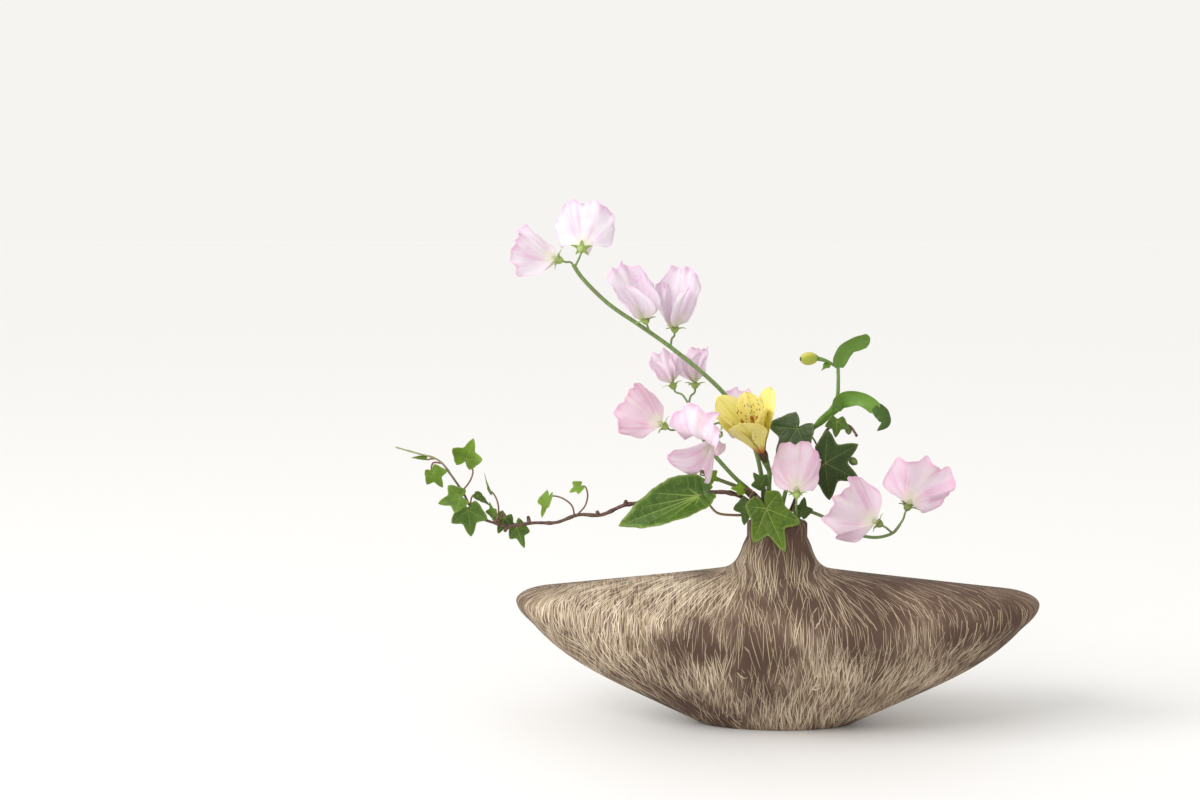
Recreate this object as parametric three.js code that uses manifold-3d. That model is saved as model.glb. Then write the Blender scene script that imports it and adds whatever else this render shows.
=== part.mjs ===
// A low ikebana arrangement in its vase: sprays of sweet pea, one alstroemeria with a budding shoot,
// and sprigs of ivy, one of them a long trailing vine. Millimetres, +Z up, front towards -Y.
// The origin is the centre of the vase's foot, on the surface that it stands on.
import * as THREE from "three";
import { mergeVertices } from "three/addons/utils/BufferGeometryUtils.js";
import Module from "manifold-3d";

const wasm = await Module();
wasm.setup();

// ---------------------------------------------------------------- driving dimensions
const VASE_HALF_WIDTH = 200; // the boat-shaped body, tip to centre
const VASE_HALF_DEPTH = 70;
const VASE_HEIGHT = 158;
const FOOT = { halfWidth: 57.5, halfDepth: 23 };
const RIDGE = { tipHeight: 95, frontHeight: 79 }; // the soft edge round the body's widest line
const SHOULDER = { top: 121, tipDrop: 7.5, frontBow: 0.35, neckRise: 27, neckSpan: 0.031 };
const MOUTH = { halfWidth: 23, halfDepth: 19, wall: 5 };
const FLOOR = 7; // thickness of clay under the cavity
const BODY_WALL = 8;
const WATER_LEVEL = 100;
const WATER_GAP = 0.5;
const HOLE_CLEARANCE = 0.4; // between a stem and its hole in the water
const VASE_SIDES = 36;

// Radii of the stems where they stand in the vase.
const STEM = {
  pea: 1.9,
  slimPea: 1.5,
  finePea: 1.2,
  lily: 1.9,
  cut: 1.6,
  vine: 2.0,
  sprig: 1.1,
  woodySprig: 1.6,
};
const TWIG = 0.7; // radius of the bare side shoots that carry leaf buds
const PEDICEL = 0.75;
const PETIOLE = 0.6;
const STEM_FOOT = 16; // height of the cut stem ends above the vase's foot
const PETAL = 0.6; // thickness of petals and small leaves
const LEAF = 0.7;
const SEAT = 0.35; // gap between a leaf or bloom and what carries it

// Where each stem stands in the neck: x, y of its straight lower part.
const SLOT = {
  tallPea: [-7.5, 6],
  leftPea: [-13, 2.5],
  rightPea: [13, 0],
  frontPea: [8, -8],
  lily: [-1.5, -4],
  shoot: [2, 2.5],
  cutStem: [-7.5, -1.5],
  vine: [-13, -3.2],
  frontSprig: [-3.5, -10.3],
  rightSprig: [7, 6.5],
};

// ---------------------------------------------------------------- meshes and solids
const vec = (p) => new THREE.Vector3(p[0], p[1], p[2]);
const mix = (a, b, t) => a + (b - a) * t;

/** A closed body from corner points and triangles, turned so that its faces point out. */
function closedBody(points, triangles) {
  let volume = 0;
  for (const [a, b, c] of triangles) {
    volume += points[a].dot(new THREE.Vector3().crossVectors(points[b], points[c]));
  }
  const faces = volume < 0 ? triangles.map(([a, b, c]) => [a, c, b]) : triangles;
  const geometry = new THREE.BufferGeometry();
  geometry.setAttribute("position", new THREE.Float32BufferAttribute(points.flatMap((p) => p.toArray()), 3));
  geometry.setIndex(faces.flat());
  return geometry;
}

function toSolid(geometry) {
  const bare = geometry.clone();
  bare.deleteAttribute("normal");
  bare.deleteAttribute("uv");
  const merged = mergeVertices(bare);
  return new wasm.Manifold(
    new wasm.Mesh({
      numProp: 3,
      vertProperties: new Float32Array(merged.attributes.position.array),
      triVerts: new Uint32Array(merged.index.array),
    }),
  );
}

function toGeometry(solid) {
  const mesh = solid.getMesh();
  const geometry = new THREE.BufferGeometry();
  geometry.setAttribute("position", new THREE.BufferAttribute(new Float32Array(mesh.vertProperties), 3));
  geometry.setIndex(new THREE.BufferAttribute(new Uint32Array(mesh.triVerts), 1));
  return geometry;
}

/** Joins overlapping bodies into one. */
function fuse(geometries) {
  const solids = geometries.map(toSolid);
  return toGeometry(solids.slice(1).reduce((whole, next) => whole.add(next), solids[0]));
}

function cut(geometry, tools) {
  return toGeometry(tools.map(toSolid).reduce((whole, tool) => whole.subtract(tool), toSolid(geometry)));
}

/** A body through equal rings of points, closed at both ends by a fan to a pole. */
function loft(startPole, rings, endPole) {
  const sides = rings[0].length;
  const points = [startPole, ...rings.flat(), endPole];
  const end = points.length - 1;
  const triangles = [];
  for (let i = 0; i < sides; i++) {
    const j = (i + 1) % sides;
    triangles.push([0, 1 + j, 1 + i]);
    for (let r = 0; r + 1 < rings.length; r++) {
      const low = 1 + r * sides;
      const high = low + sides;
      triangles.push([low + i, low + j, high + j], [low + i, high + j, high + i]);
    }
    const last = 1 + (rings.length - 1) * sides;
    triangles.push([last + i, last + j, end]);
  }
  return closedBody(points, triangles);
}

/** A thin closed blade on surface(s, v), s across from -1 to 1 and v along from 0 to 1. */
function blade(surface, across, along, thickness) {
  const width = across + 1;
  const count = width * (along + 1);
  const faces = [[], []];
  const step = 1e-3;
  for (let j = 0; j <= along; j++) {
    for (let i = 0; i <= across; i++) {
      const s = (2 * i) / across - 1;
      const v = j / along;
      const acrossWay = surface(s + step, v).sub(surface(s - step, v));
      const alongWay = surface(s, Math.min(1, v + step)).sub(surface(s, Math.max(0, v - step)));
      const normal = acrossWay.cross(alongWay).normalize().multiplyScalar(thickness / 2);
      const middle = surface(s, v);
      faces[0].push(middle.clone().add(normal));
      faces[1].push(middle.clone().sub(normal));
    }
  }
  const triangles = [];
  for (let j = 0; j < along; j++) {
    for (let i = 0; i < across; i++) {
      const a = j * width + i;
      const corners = [a, a + 1, a + 1 + width, a + width];
      const [p, q, r, t] = corners;
      triangles.push([p, q, r], [p, r, t]);
      triangles.push([p + count, r + count, q + count], [p + count, t + count, r + count]);
    }
  }
  const rim = [];
  for (let i = 0; i < across; i++) rim.push(i);
  for (let j = 0; j < along; j++) rim.push(j * width + across);
  for (let i = across; i > 0; i--) rim.push(along * width + i);
  for (let j = along; j > 0; j--) rim.push(j * width);
  rim.forEach((a, k) => {
    const b = rim[(k + 1) % rim.length];
    triangles.push([a, b + count, b], [a, a + count, b + count]);
  });
  return closedBody([...faces[0], ...faces[1]], triangles);
}

/** Points on a smooth curve through the given points; the first straightCount spans stay undivided. */
function curvePoints(points, perSpan, straightCount) {
  const curve = new THREE.CatmullRomCurve3(points.map(vec), false, "centripetal");
  const spans = points.length - 1;
  const out = [];
  for (let k = 0; k < spans; k++) {
    const parts = k < straightCount ? 1 : perSpan;
    for (let i = 0; i < parts; i++) out.push(curve.getPoint((k + i / parts) / spans));
  }
  out.push(curve.getPoint(1));
  return out;
}

/** A round stem along a curve, tapering evenly from one radius to the other. */
function stem(points, startRadius, endRadius, { sides = 6, perSpan = 1, straight = 0 } = {}) {
  const path = curvePoints(points, perSpan, straight);
  const last = path.length - 1;
  const side = new THREE.Vector3(1, 0.13, 0.07);
  const rings = path.map((centre, k) => {
    const way = path[Math.min(k + 1, last)].clone().sub(path[Math.max(k - 1, 0)]).normalize();
    side.addScaledVector(way, -side.dot(way)).normalize();
    const other = new THREE.Vector3().crossVectors(way, side);
    const radius = mix(startRadius, endRadius, k / last);
    return Array.from({ length: sides }, (_, i) => {
      const turn = (2 * Math.PI * i) / sides;
      return centre
        .clone()
        .addScaledVector(side, radius * Math.cos(turn))
        .addScaledVector(other, radius * Math.sin(turn));
    });
  });
  return loft(path[0], rings, path[last]);
}

/** The stem that stands in the vase: straight up from its cut end, then along its own points. */
function standingStem(slot, points, startRadius, endRadius, options = {}) {
  const [x, y] = slot;
  const lower = [[x, y, STEM_FOOT], [x, y, 60], [x, y, 106], [x, y, 146]];
  return stem([...lower, ...points], startRadius, endRadius, { straight: 3, ...options });
}

/** Right-handed axes for an organ that points forward, with its back side towards up. */
function organFrame(origin, forward, up) {
  const ahead = vec(forward).normalize();
  const above = vec(up);
  above.addScaledVector(ahead, -above.dot(ahead)).normalize();
  const right = new THREE.Vector3().crossVectors(ahead, above);
  const base = vec(origin);
  return (x, y, z) =>
    base.clone().addScaledVector(right, x).addScaledVector(ahead, y).addScaledVector(above, z);
}

/** A round body along the frame's forward axis through [height, radius] stations. */
function spindle(place, stations, sides) {
  const rings = stations.map(([height, radius]) =>
    Array.from({ length: sides }, (_, i) => {
      const turn = (2 * Math.PI * i) / sides;
      return place(radius * Math.cos(turn), height, radius * Math.sin(turn));
    }),
  );
  return loft(place(0, stations[0][0] - 0.2, 0), rings, place(0, stations[stations.length - 1][0] + 0.3, 0));
}

// ---------------------------------------------------------------- vase and water
const oval = (halfWidth, halfDepth, heightAt) =>
  Array.from({ length: VASE_SIDES }, (_, i) => {
    const turn = (2 * Math.PI * i) / VASE_SIDES;
    const x = halfWidth * Math.cos(turn);
    const y = halfDepth * Math.sin(turn);
    return new THREE.Vector3(x, y, heightAt(Math.cos(turn) ** 2));
  });

// tipness is 1 at the two pointed ends of the body and 0 at its front and back.
const ridgeHeight = (tipness) => mix(RIDGE.frontHeight, RIDGE.tipHeight, tipness);

/** Height of the lower body where u runs from 0 at the foot to 1 at the ridge. */
const lowerHeight = (u, tipness) => ridgeHeight(tipness) * (0.72 * u + 0.28 * u ** 6);

/** Height of the shoulder where q runs from 0 at the neck to 1 just over the ridge. */
function shoulderHeight(q, tipness) {
  const low = ridgeHeight(tipness) + SHOULDER.tipDrop;
  const bow = 1 + SHOULDER.frontBow * (1 - tipness);
  return mix(SHOULDER.top, low, q ** bow) + SHOULDER.neckRise * Math.exp(-q / SHOULDER.neckSpan);
}

function vaseRings() {
  const rings = [];
  for (const u of [0, 0.2, 0.42, 0.64, 0.82, 0.94, 1]) {
    const halfWidth = mix(FOOT.halfWidth, VASE_HALF_WIDTH, u);
    const halfDepth = mix(FOOT.halfDepth, VASE_HALF_DEPTH, u);
    rings.push(oval(halfWidth, halfDepth, (tip) => lowerHeight(u, tip)));
  }
  for (const q of [0.98, 0.93, 0.7, 0.4, 0.18, 0.08, 0.035, 0.012]) {
    const halfWidth = mix(MOUTH.halfWidth + 1, VASE_HALF_WIDTH, q);
    const halfDepth = mix(MOUTH.halfDepth + 1, VASE_HALF_DEPTH, q);
    const rounding = Math.max(0, (q - 0.93) / 0.07) ** 2 * SHOULDER.tipDrop;
    rings.push(oval(halfWidth, halfDepth, (tip) => shoulderHeight(q, tip) - rounding));
  }
  const lip = MOUTH.wall / 2;
  for (const [inset, drop] of [[0, 12], [0, 2], [lip * 0.3, 0.6], [lip, 0], [lip * 1.7, 0.6], [lip * 2, 2]]) {
    rings.push(oval(MOUTH.halfWidth - inset, MOUTH.halfDepth - inset, () => VASE_HEIGHT - drop));
  }
  return rings;
}

const CAVITY = {
  neckWidth: MOUTH.halfWidth - MOUTH.wall,
  neckDepth: MOUTH.halfDepth - MOUTH.wall,
  width: VASE_HALF_WIDTH - 11,
  depth: VASE_HALF_DEPTH - 9,
  floorWidth: 46,
  floorDepth: 16,
  roof: SHOULDER.top - BODY_WALL,
};

const roofHeight = (q, tipness) => {
  const bow = 1 + SHOULDER.frontBow * (1 - tipness);
  return mix(CAVITY.roof, ridgeHeight(tipness), q ** bow);
};
const bedHeight = (u, tipness) =>
  FLOOR + (ridgeHeight(tipness) - FLOOR) * (0.72 * u + 0.28 * u ** 6);

function cavityRings() {
  const rings = [oval(CAVITY.neckWidth, CAVITY.neckDepth, () => CAVITY.roof + 4)];
  for (const q of [0.08, 0.4, 0.75, 1]) {
    const halfWidth = mix(CAVITY.neckWidth, CAVITY.width, q);
    const halfDepth = mix(CAVITY.neckDepth, CAVITY.depth, q);
    rings.push(oval(halfWidth, halfDepth, (tip) => roofHeight(q, tip)));
  }
  for (const u of [0.8, 0.4, 0]) {
    const halfWidth = mix(CAVITY.floorWidth, CAVITY.width, u);
    const halfDepth = mix(CAVITY.floorDepth, CAVITY.depth, u);
    rings.push(oval(halfWidth, halfDepth, (tip) => bedHeight(u, tip)));
  }
  return rings;
}

function vase() {
  return loft(vec([0, 0, 0]), [...vaseRings(), ...cavityRings()], vec([0, 0, FLOOR]));
}

function waterHole([x, y], radius) {
  const hole = new THREE.CylinderGeometry(radius + HOLE_CLEARANCE, radius + HOLE_CLEARANCE, 200, 10);
  hole.rotateX(Math.PI / 2);
  hole.translate(x, y, STEM_FOOT - 2 + 100);
  return hole;
}

/** The water that fills the cavity to its level, with a plain hole for every stem. */
function water(stemsInside) {
  const rings = [];
  for (const u of [0, 0.4, 0.8, 1]) {
    const halfWidth = mix(CAVITY.floorWidth, CAVITY.width, u);
    const halfDepth = mix(CAVITY.floorDepth, CAVITY.depth, u);
    const lift = u < 1 ? WATER_GAP : 0;
    rings.push(oval(halfWidth - 3 * WATER_GAP, halfDepth - 2 * WATER_GAP, (tip) => bedHeight(u, tip) + lift));
  }
  const surface = Array.from({ length: VASE_SIDES }, (_, i) => {
    const turn = (2 * Math.PI * i) / VASE_SIDES;
    const tip = Math.cos(turn) ** 2;
    const bow = 1 + SHOULDER.frontBow * (1 - tip);
    const drop = CAVITY.roof - 3 * WATER_GAP - WATER_LEVEL;
    const q = (drop / (CAVITY.roof - ridgeHeight(tip))) ** (1 / bow);
    const x = (mix(CAVITY.neckWidth, CAVITY.width, q) - 4 * WATER_GAP) * Math.cos(turn);
    const y = (mix(CAVITY.neckDepth, CAVITY.depth, q) - 4 * WATER_GAP) * Math.sin(turn);
    return new THREE.Vector3(x, y, WATER_LEVEL);
  });
  rings.push(surface);
  const body = loft(vec([0, 0, FLOOR + WATER_GAP]), rings, vec([0, 0, WATER_LEVEL]));
  return cut(body, stemsInside.map(([slot, radius]) => waterHole(slot, radius)));
}

// ---------------------------------------------------------------- sweet pea
// Petals start on the claw, ahead of the calyx by ahead and off its axis by above.
const BANNER = {
  height: 38,
  spread: 68, // half angle of the fan, in degrees
  clawLength: 6.5,
  bendRadius: 9,
  notch: 0.12,
  ahead: 4.9,
  above: 0.9,
};
const WING = { length: 27, height: 16, ahead: 5.2, above: -1.2, out: 1.2, rise: 8 };
const CALYX = { cup: 3.0, depth: 4.6, sepalReach: 7.2, sepalHeight: 5.6, inner: 2.2, seat: 2.7 };
const CLAW = 1.55;

/** A line that runs forward, then turns upwards through an angle on a bend. */
function bentLine(length, straight, radius, angle) {
  const turned = Math.max(0, Math.min((length - straight) / radius, angle));
  const rest = Math.max(0, length - straight - radius * angle);
  const ahead = Math.min(length, straight) + radius * Math.sin(turned) + rest * Math.cos(angle);
  const above = radius * (1 - Math.cos(turned)) + rest * Math.sin(angle);
  return { ahead, above, turned };
}

/** The broad upper petal: a notched fan from the claw, bent up, folded about its midrib and ruffled. */
function banner(place, { size, open, fold, ruffle, phase }) {
  const spread = THREE.MathUtils.degToRad(BANNER.spread);
  const height = BANNER.height * size;
  return (s, v) => {
    const angle = s * spread;
    const notch = BANNER.notch * Math.exp(-((s / 0.16) ** 2));
    const reach = height * (0.5 + 0.55 * Math.cos(angle) - notch);
    const rho = reach * mix(0.075, 1, v);
    const side = rho * Math.sin(angle);
    const line = bentLine(rho * Math.cos(angle), BANNER.clawLength, BANNER.bendRadius * size, open);
    const wave = ruffle * size * v ** 3 * Math.sin(7.5 * s + phase);
    const lift = (fold * side * side) / height + wave;
    return place(
      side * (1 - 0.22 * Math.abs(fold) * v),
      BANNER.ahead + line.ahead + lift * Math.sin(line.turned),
      BANNER.above + line.above - lift * Math.cos(line.turned),
    );
  };
}

/** One of the two side petals, hung from the claw under the banner and cupped round the keel. */
function wing(place, side, { size, open, spread, phase }) {
  const length = WING.length * size;
  const clearRise = WING.rise * Math.sin(open); // the top edge stays under the banner
  return (s, v) => {
    const top = WING.above + size * clearRise * v * v;
    const depth = size * WING.height * Math.sin(Math.PI * mix(0.02, 0.86, v ** 0.85));
    const bottom = WING.above - CLAW * 0.4 - depth + 0.5 * size * clearRise * v * v;
    const out = WING.out + spread * length * v ** 1.2 + 0.12 * length * v * (1 - s * s);
    const wave = 0.9 * size * v * v * Math.sin(4 * s + phase);
    const ahead = WING.ahead + length * v * (1 - 0.12 * s * s);
    return place(side * (out + wave), ahead, mix(bottom, top, (s + 1) / 2));
  };
}

function sweetPeaBloom({ calyx, forward, up, size = 1, open = 75, fold = 0.5, ruffle = 2,
  spread = 0.25, phase = 0 }) {
  const place = organFrame(calyx, forward, up);
  const shape = { size, open: THREE.MathUtils.degToRad(open), fold, ruffle, spread, phase };
  const claw = spindle(place, [[CALYX.seat, CLAW * 0.6], [6.2, CLAW * 1.7], [9, CLAW]], 6);
  const keelPlace = (x, y, z) => place(x * 0.45, y, z - 1.6);
  const keel = spindle(keelPlace, [[6, 0.8], [9 + 2 * size, 2.4], [8 + 9 * size, 1.2]], 4);
  return fuse([
    claw,
    keel,
    blade(banner(place, shape), 7, 3, PETAL),
    blade(wing(place, 1, shape), 2, 3, PETAL),
    blade(wing(place, -1, shape), 2, 3, PETAL),
  ]);
}

/** The green cup with five pointed sepals that holds a bloom's claw. */
function calyxCup({ calyx, forward, up }) {
  const place = organFrame(calyx, forward, up);
  const points = 10;
  const ring = (radiusAt, heightAt) =>
    Array.from({ length: points }, (_, i) => {
      const turn = (2 * Math.PI * i) / points;
      const tip = i % 2 === 0;
      return place(radiusAt(tip) * Math.sin(turn), heightAt(tip), radiusAt(tip) * Math.cos(turn));
    });
  const { cup, depth, sepalReach, sepalHeight, inner } = CALYX;
  const rings = [
    ring(() => cup, () => 2.2),
    ring((tip) => (tip ? sepalReach : cup + 0.1), (tip) => (tip ? sepalHeight : depth - 0.4)),
    ring((tip) => (tip ? sepalReach - 0.3 : cup - 0.4), (tip) => (tip ? sepalHeight + 0.5 : depth - 0.1)),
    ring(() => inner, () => 3.2),
  ];
  return loft(place(0, -0.6, 0), rings, place(0, 1.2, 0));
}

/** A thin stalk from a point on the main stem to the back of a calyx. */
function pedicel(from, via, bloom) {
  const place = organFrame(bloom.calyx, bloom.forward, bloom.up);
  const end = [place(0, -2.5, 0), place(0, 0, 0)].map((p) => p.toArray());
  return stem([from, ...via, ...end], PEDICEL + 0.1, PEDICEL, { sides: 4 });
}

// ---------------------------------------------------------------- ivy and other leaves
// Outlines as angle from the tip, in degrees, and reach as a share of the leaf's length.
const OUTLINE = {
  star: [[0, 1], [26, 0.6], [54, 0.97], [82, 0.56], [112, 0.82], [150, 0.5], [180, 0.14]],
  ivy: [[0, 1], [30, 0.56], [60, 0.78], [100, 0.5], [140, 0.46], [180, 0.14]],
  broad: [[0, 1], [18, 0.82], [38, 0.7], [62, 0.6], [92, 0.44], [125, 0.28], [155, 0.2], [180, 0.12]],
  lance: [[0, 1], [12, 0.62], [40, 0.34], [90, 0.26], [140, 0.22], [180, 0.14]],
};

/** Angles and reaches all the way round a leaf, with softened spans between the listed points. */
function leafOutline(kind, parts) {
  const half = [];
  const knots = OUTLINE[kind];
  for (let k = 0; k + 1 < knots.length; k++) {
    for (let i = 0; i < parts; i++) {
      const t = i / parts;
      const ease = (1 - Math.cos(Math.PI * t)) / 2;
      half.push([mix(knots[k][0], knots[k + 1][0], t), mix(knots[k][1], knots[k + 1][1], ease)]);
    }
  }
  half.push(knots[knots.length - 1]);
  const mirrored = half.slice(1, -1).reverse().map(([angle, reach]) => [-angle, reach]);
  return [...half, ...mirrored].map(([angle, reach]) => [THREE.MathUtils.degToRad(angle), reach]);
}

/** Height of a leaf over its own plane, all in shares of its length. */
function leafRelief(x, y, { cup = 0.12, fold = 0.1, curl = 0.15, wave = 0.05, turn = 0 }) {
  const radius = Math.hypot(x, y);
  return cup * y * y + fold * Math.sqrt(y * y + 0.01) - curl * x * Math.abs(x)
    + wave * radius * radius * Math.cos(5 * Math.atan2(y, x) + 0.8) + turn * x * y;
}

/** A lobed leaf blade with its stalk's end under the base. */
function leafBlade(leaf, parts = 1, ringCount = 2) {
  const { at, tip, face, kind = "ivy", width = 1 } = leaf;
  const base = vec(at);
  const axis = vec(tip).sub(base);
  const length = axis.length();
  axis.normalize();
  const normal = vec(face);
  normal.addScaledVector(axis, -normal.dot(axis)).normalize();
  const side = new THREE.Vector3().crossVectors(normal, axis);
  const half = (leaf.thick ?? LEAF) / 2;
  const step = 1e-3;
  const layers = [[], []];
  const spot = (x, y) => {
    const relief = (a, b) => leafRelief(a, b, leaf);
    const slopeX = (relief(x + step, y) - relief(x - step, y)) / (2 * step);
    const slopeY = (relief(x, y + step) - relief(x, y - step)) / (2 * step);
    const middle = base
      .clone()
      .addScaledVector(axis, length * x)
      .addScaledVector(side, length * width * y)
      .addScaledVector(normal, length * (relief(x, y) - relief(0, 0)));
    const up = normal
      .clone()
      .addScaledVector(axis, -slopeX)
      .addScaledVector(side, -slopeY / width)
      .normalize();
    layers[0].push(middle.clone().addScaledVector(up, half));
    layers[1].push(middle.clone().addScaledVector(up, -half));
  };
  const outline = leafOutline(kind, parts);
  const spokes = outline.length;
  spot(0.05, 0);
  for (let r = 1; r <= ringCount; r++) {
    for (const [angle, reach] of outline) {
      const share = (reach * r) / ringCount;
      spot(share * Math.cos(angle), share * Math.sin(angle));
    }
  }
  const count = layers[0].length;
  const triangles = [];
  for (let i = 0; i < spokes; i++) {
    const j = (i + 1) % spokes;
    triangles.push([0, 1 + i, 1 + j], [count, count + 1 + j, count + 1 + i]);
    for (let r = 0; r + 1 < ringCount; r++) {
      const a = 1 + r * spokes + i;
      const b = 1 + r * spokes + j;
      const c = b + spokes;
      const d = a + spokes;
      triangles.push([a, d, c], [a, c, b]);
      triangles.push([count + a, count + c, count + d], [count + a, count + b, count + c]);
    }
    const rim = 1 + (ringCount - 1) * spokes;
    triangles.push([rim + i, count + rim + i, count + rim + j]);
    triangles.push([rim + i, count + rim + j, rim + j]);
  }
  return closedBody([...layers[0], ...layers[1]], triangles);
}

/** A leaf stalk that runs in under the blade's base and stops just beneath it. */
function petiole(from, via, leaf, radius = PETIOLE) {
  const axis = vec(leaf.tip).sub(vec(leaf.at));
  axis.normalize();
  const normal = vec(leaf.face);
  normal.addScaledVector(axis, -normal.dot(axis)).normalize();
  const drop = (leaf.thick ?? LEAF) / 2 + SEAT + radius;
  const under = vec(leaf.at).addScaledVector(normal, -drop);
  const inner = under.clone().addScaledVector(axis, 1.2);
  const outer = under.clone().addScaledVector(axis, -2).addScaledVector(normal, -1.2);
  return stem([from, ...via, outer.toArray(), inner.toArray()], radius * 1.15, radius, { sides: 3 });
}

/** The stalk of a leaf from the LEAVES table. */
const leafStalk = (from, via, name, radius) => petiole(from, via, LEAVES[name], radius);

/** A long strap leaf along a curve, its width given at each end of the side direction. */
function strapLeaf(points, sides, halfWidth, { blunt = 0.12, across = 3, along = 8, fold = 0.25 } = {}) {
  const curve = new THREE.CatmullRomCurve3(points.map(vec), false, "centripetal");
  const from = vec(sides[0]);
  const to = vec(sides[1]);
  return blade((s, v) => {
    const t = Math.min(1, Math.max(0, v));
    const half = halfWidth * Math.max(blunt, Math.sin(Math.PI * mix(0.08, 1, t ** 0.8)) ** 0.8);
    const way = curve.getTangent(t);
    const side = from.clone().lerp(to, t);
    side.addScaledVector(way, -side.dot(way)).normalize();
    const face = new THREE.Vector3().crossVectors(way, side);
    const beyond = way.clone().multiplyScalar((v - t) * 10);
    const middle = curve.getPoint(t).add(beyond);
    return middle.addScaledVector(side, half * s).addScaledVector(face, fold * half * s * s);
  }, across, along, PETAL);
}

/** An egg-shaped bud, pointed a little towards its tip. */
function bud(centre, forward, length, radius, sides = 6) {
  const above = Math.abs(forward[2]) > 0.8 ? [0, 1, 0] : [0, 0, 1];
  const half = length / 2;
  const stations = [[-0.92, 0.35], [-0.55, 0.85], [0, 1], [0.5, 0.8], [0.9, 0.3]];
  return spindle(
    organFrame(centre, forward, above),
    stations.map(([height, share]) => [height * half, share * radius]),
    sides,
  );
}

// ---------------------------------------------------------------- alstroemeria
const LILY = { length: 57, flare: 22, lowFlare: 27, outerHalf: 12.5, innerHalf: 7.5, throat: 1.6 };

/** One of the six petals of the funnel: rolled round the axis and flaring out to its tip. */
function tepal(place, turnDegrees, halfWidth, length, flare) {
  const turn = THREE.MathUtils.degToRad(turnDegrees);
  return (s, v) => {
    const half = halfWidth * Math.sin(Math.PI * mix(0.03, 0.88, v ** 1.6));
    const radius = LILY.throat + flare * v ** 1.4;
    const around = half * s;
    const out = radius - (0.3 * around * around) / (radius + 8);
    const height = 4 + length * (v - 0.12 * v ** 3) - 0.012 * around * around;
    return place(
      out * Math.cos(turn) - around * Math.sin(turn),
      height,
      out * Math.sin(turn) + around * Math.cos(turn),
    );
  };
}

function lilyBloom({ base, forward, up }) {
  const place = organFrame(base, forward, up);
  const pieces = [spindle(place, [[0.6, 2.4], [5, 3.4], [10, 3.6], [13, 1.5]], 8)];
  for (let i = 0; i < 3; i++) {
    const flare = i === 0 ? LILY.lowFlare : LILY.flare;
    const outer = tepal(place, 270 + 120 * i, LILY.outerHalf, LILY.length, flare);
    const inner = tepal(place, 90 + 120 * i, LILY.innerHalf, LILY.length * 0.94, LILY.flare - 7);
    pieces.push(blade(outer, 4, 4, PETAL), blade(inner, 2, 4, PETAL));
  }
  for (let i = 0; i < 5; i++) {
    const turn = (2 * Math.PI * (i + 0.3)) / 5;
    const lean = (r, h) => place(r * Math.cos(turn), h, r * Math.sin(turn)).toArray();
    const height = 28 + 1.5 * i;
    pieces.push(stem([lean(0.9, 10), lean(3.4, height)], 0.55, 0.5, { sides: 3 }));
    const tip = organFrame(lean(3.4, height), forward, up);
    pieces.push(spindle(tip, [[-2, 0.6], [0, 1.1], [2, 0.6]], 4));
  }
  return fuse(pieces);
}

// ---------------------------------------------------------------- where everything grows
const BLOOMS = {
  sweet_pea_bloom_a1: { calyx: [-163, -13, 356], forward: [-0.95, 0.1, 0.3], up: [0.2, -0.8, 0.6],
    size: 0.95, open: 30, fold: 0.8, ruffle: 2.4, spread: 0.2, phase: 0.5 },
  sweet_pea_bloom_a2: { calyx: [-149, -15, 363], forward: [0.1, 0.75, 0.7], up: [0, -0.6, 0.8],
    size: 1.05, open: 45, fold: 0.35, ruffle: 2.2, phase: 2 },
  sweet_pea_bloom_a3: { calyx: [-99, -10, 314], forward: [-0.35, -0.3, 0.9], up: [-0.6, 0.6, 0.1],
    size: 1.05, open: 20, fold: 0.7, ruffle: 2.0, spread: 0.15, phase: 1 },
  sweet_pea_bloom_a4: { calyx: [-79, 2, 302], forward: [0.1, -0.2, 0.97], up: [0.3, 0.9, 0],
    size: 1.15, open: 18, fold: 0.7, ruffle: 2.0, spread: 0.15, phase: 3 },
  sweet_pea_bloom_b1: { calyx: [-79, 10, 258], forward: [-0.35, 0.1, 0.95], up: [-0.3, 0.9, 0.1],
    size: 0.72, open: 20, fold: 0.7, ruffle: 2.2, spread: 0.15, phase: 1.5 },
  sweet_pea_bloom_b2: { calyx: [-63, 16, 257], forward: [0.15, 0.3, 0.95], up: [0.5, 0.8, 0],
    size: 0.72, open: 20, fold: 0.7, ruffle: 2.2, spread: 0.15, phase: 0.2 },
  sweet_pea_bloom_b3: { calyx: [-84, -14, 230.5], forward: [-0.85, 0.15, 0.5], up: [0.1, -0.9, 0.4],
    size: 1.0, open: 30, fold: 0.8, ruffle: 1.6, spread: 0.15, phase: 2.4 },
  sweet_pea_bloom_b4: { calyx: [-46, -21, 229], forward: [-0.65, -0.6, -0.5], up: [0, -0.3, 0.95],
    size: 1.1, open: 80, fold: 0.25, ruffle: 3.0, spread: 0.45, phase: 0 },
  sweet_pea_bloom_b5: { calyx: [-44, 10, 232], forward: [0.75, 0.6, 0.1], up: [-0.1, 0, 1],
    size: 0.9, open: 75, fold: 0.3, ruffle: 2.4, phase: 1.2 },
  sweet_pea_bloom_c1: { calyx: [77, -24, 159], forward: [-0.85, 0.12, 0.45], up: [-0.2, -0.9, 0.4],
    size: 1.1, open: 35, fold: 0.5, ruffle: 3.0, spread: 0.2, phase: 2.8 },
  sweet_pea_bloom_c2: { calyx: [96, -14, 169], forward: [0.4, 0.35, 0.85], up: [0.4, -0.8, 0.4],
    size: 1.15, open: 45, fold: 0.3, ruffle: 2.8, phase: 0.9 },
  sweet_pea_bloom_d1: { calyx: [12, -33, 181], forward: [0.02, 0.4, 0.92], up: [0, -0.92, 0.4],
    size: 0.95, open: 22, fold: 0.6, ruffle: 1.0, spread: 0.15, phase: 0 },
};

const LILY_BLOOM = { base: [-10, -12, 205], forward: [-0.32, -0.5, 0.8], up: [0, 0.6, 0.8] };

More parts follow.
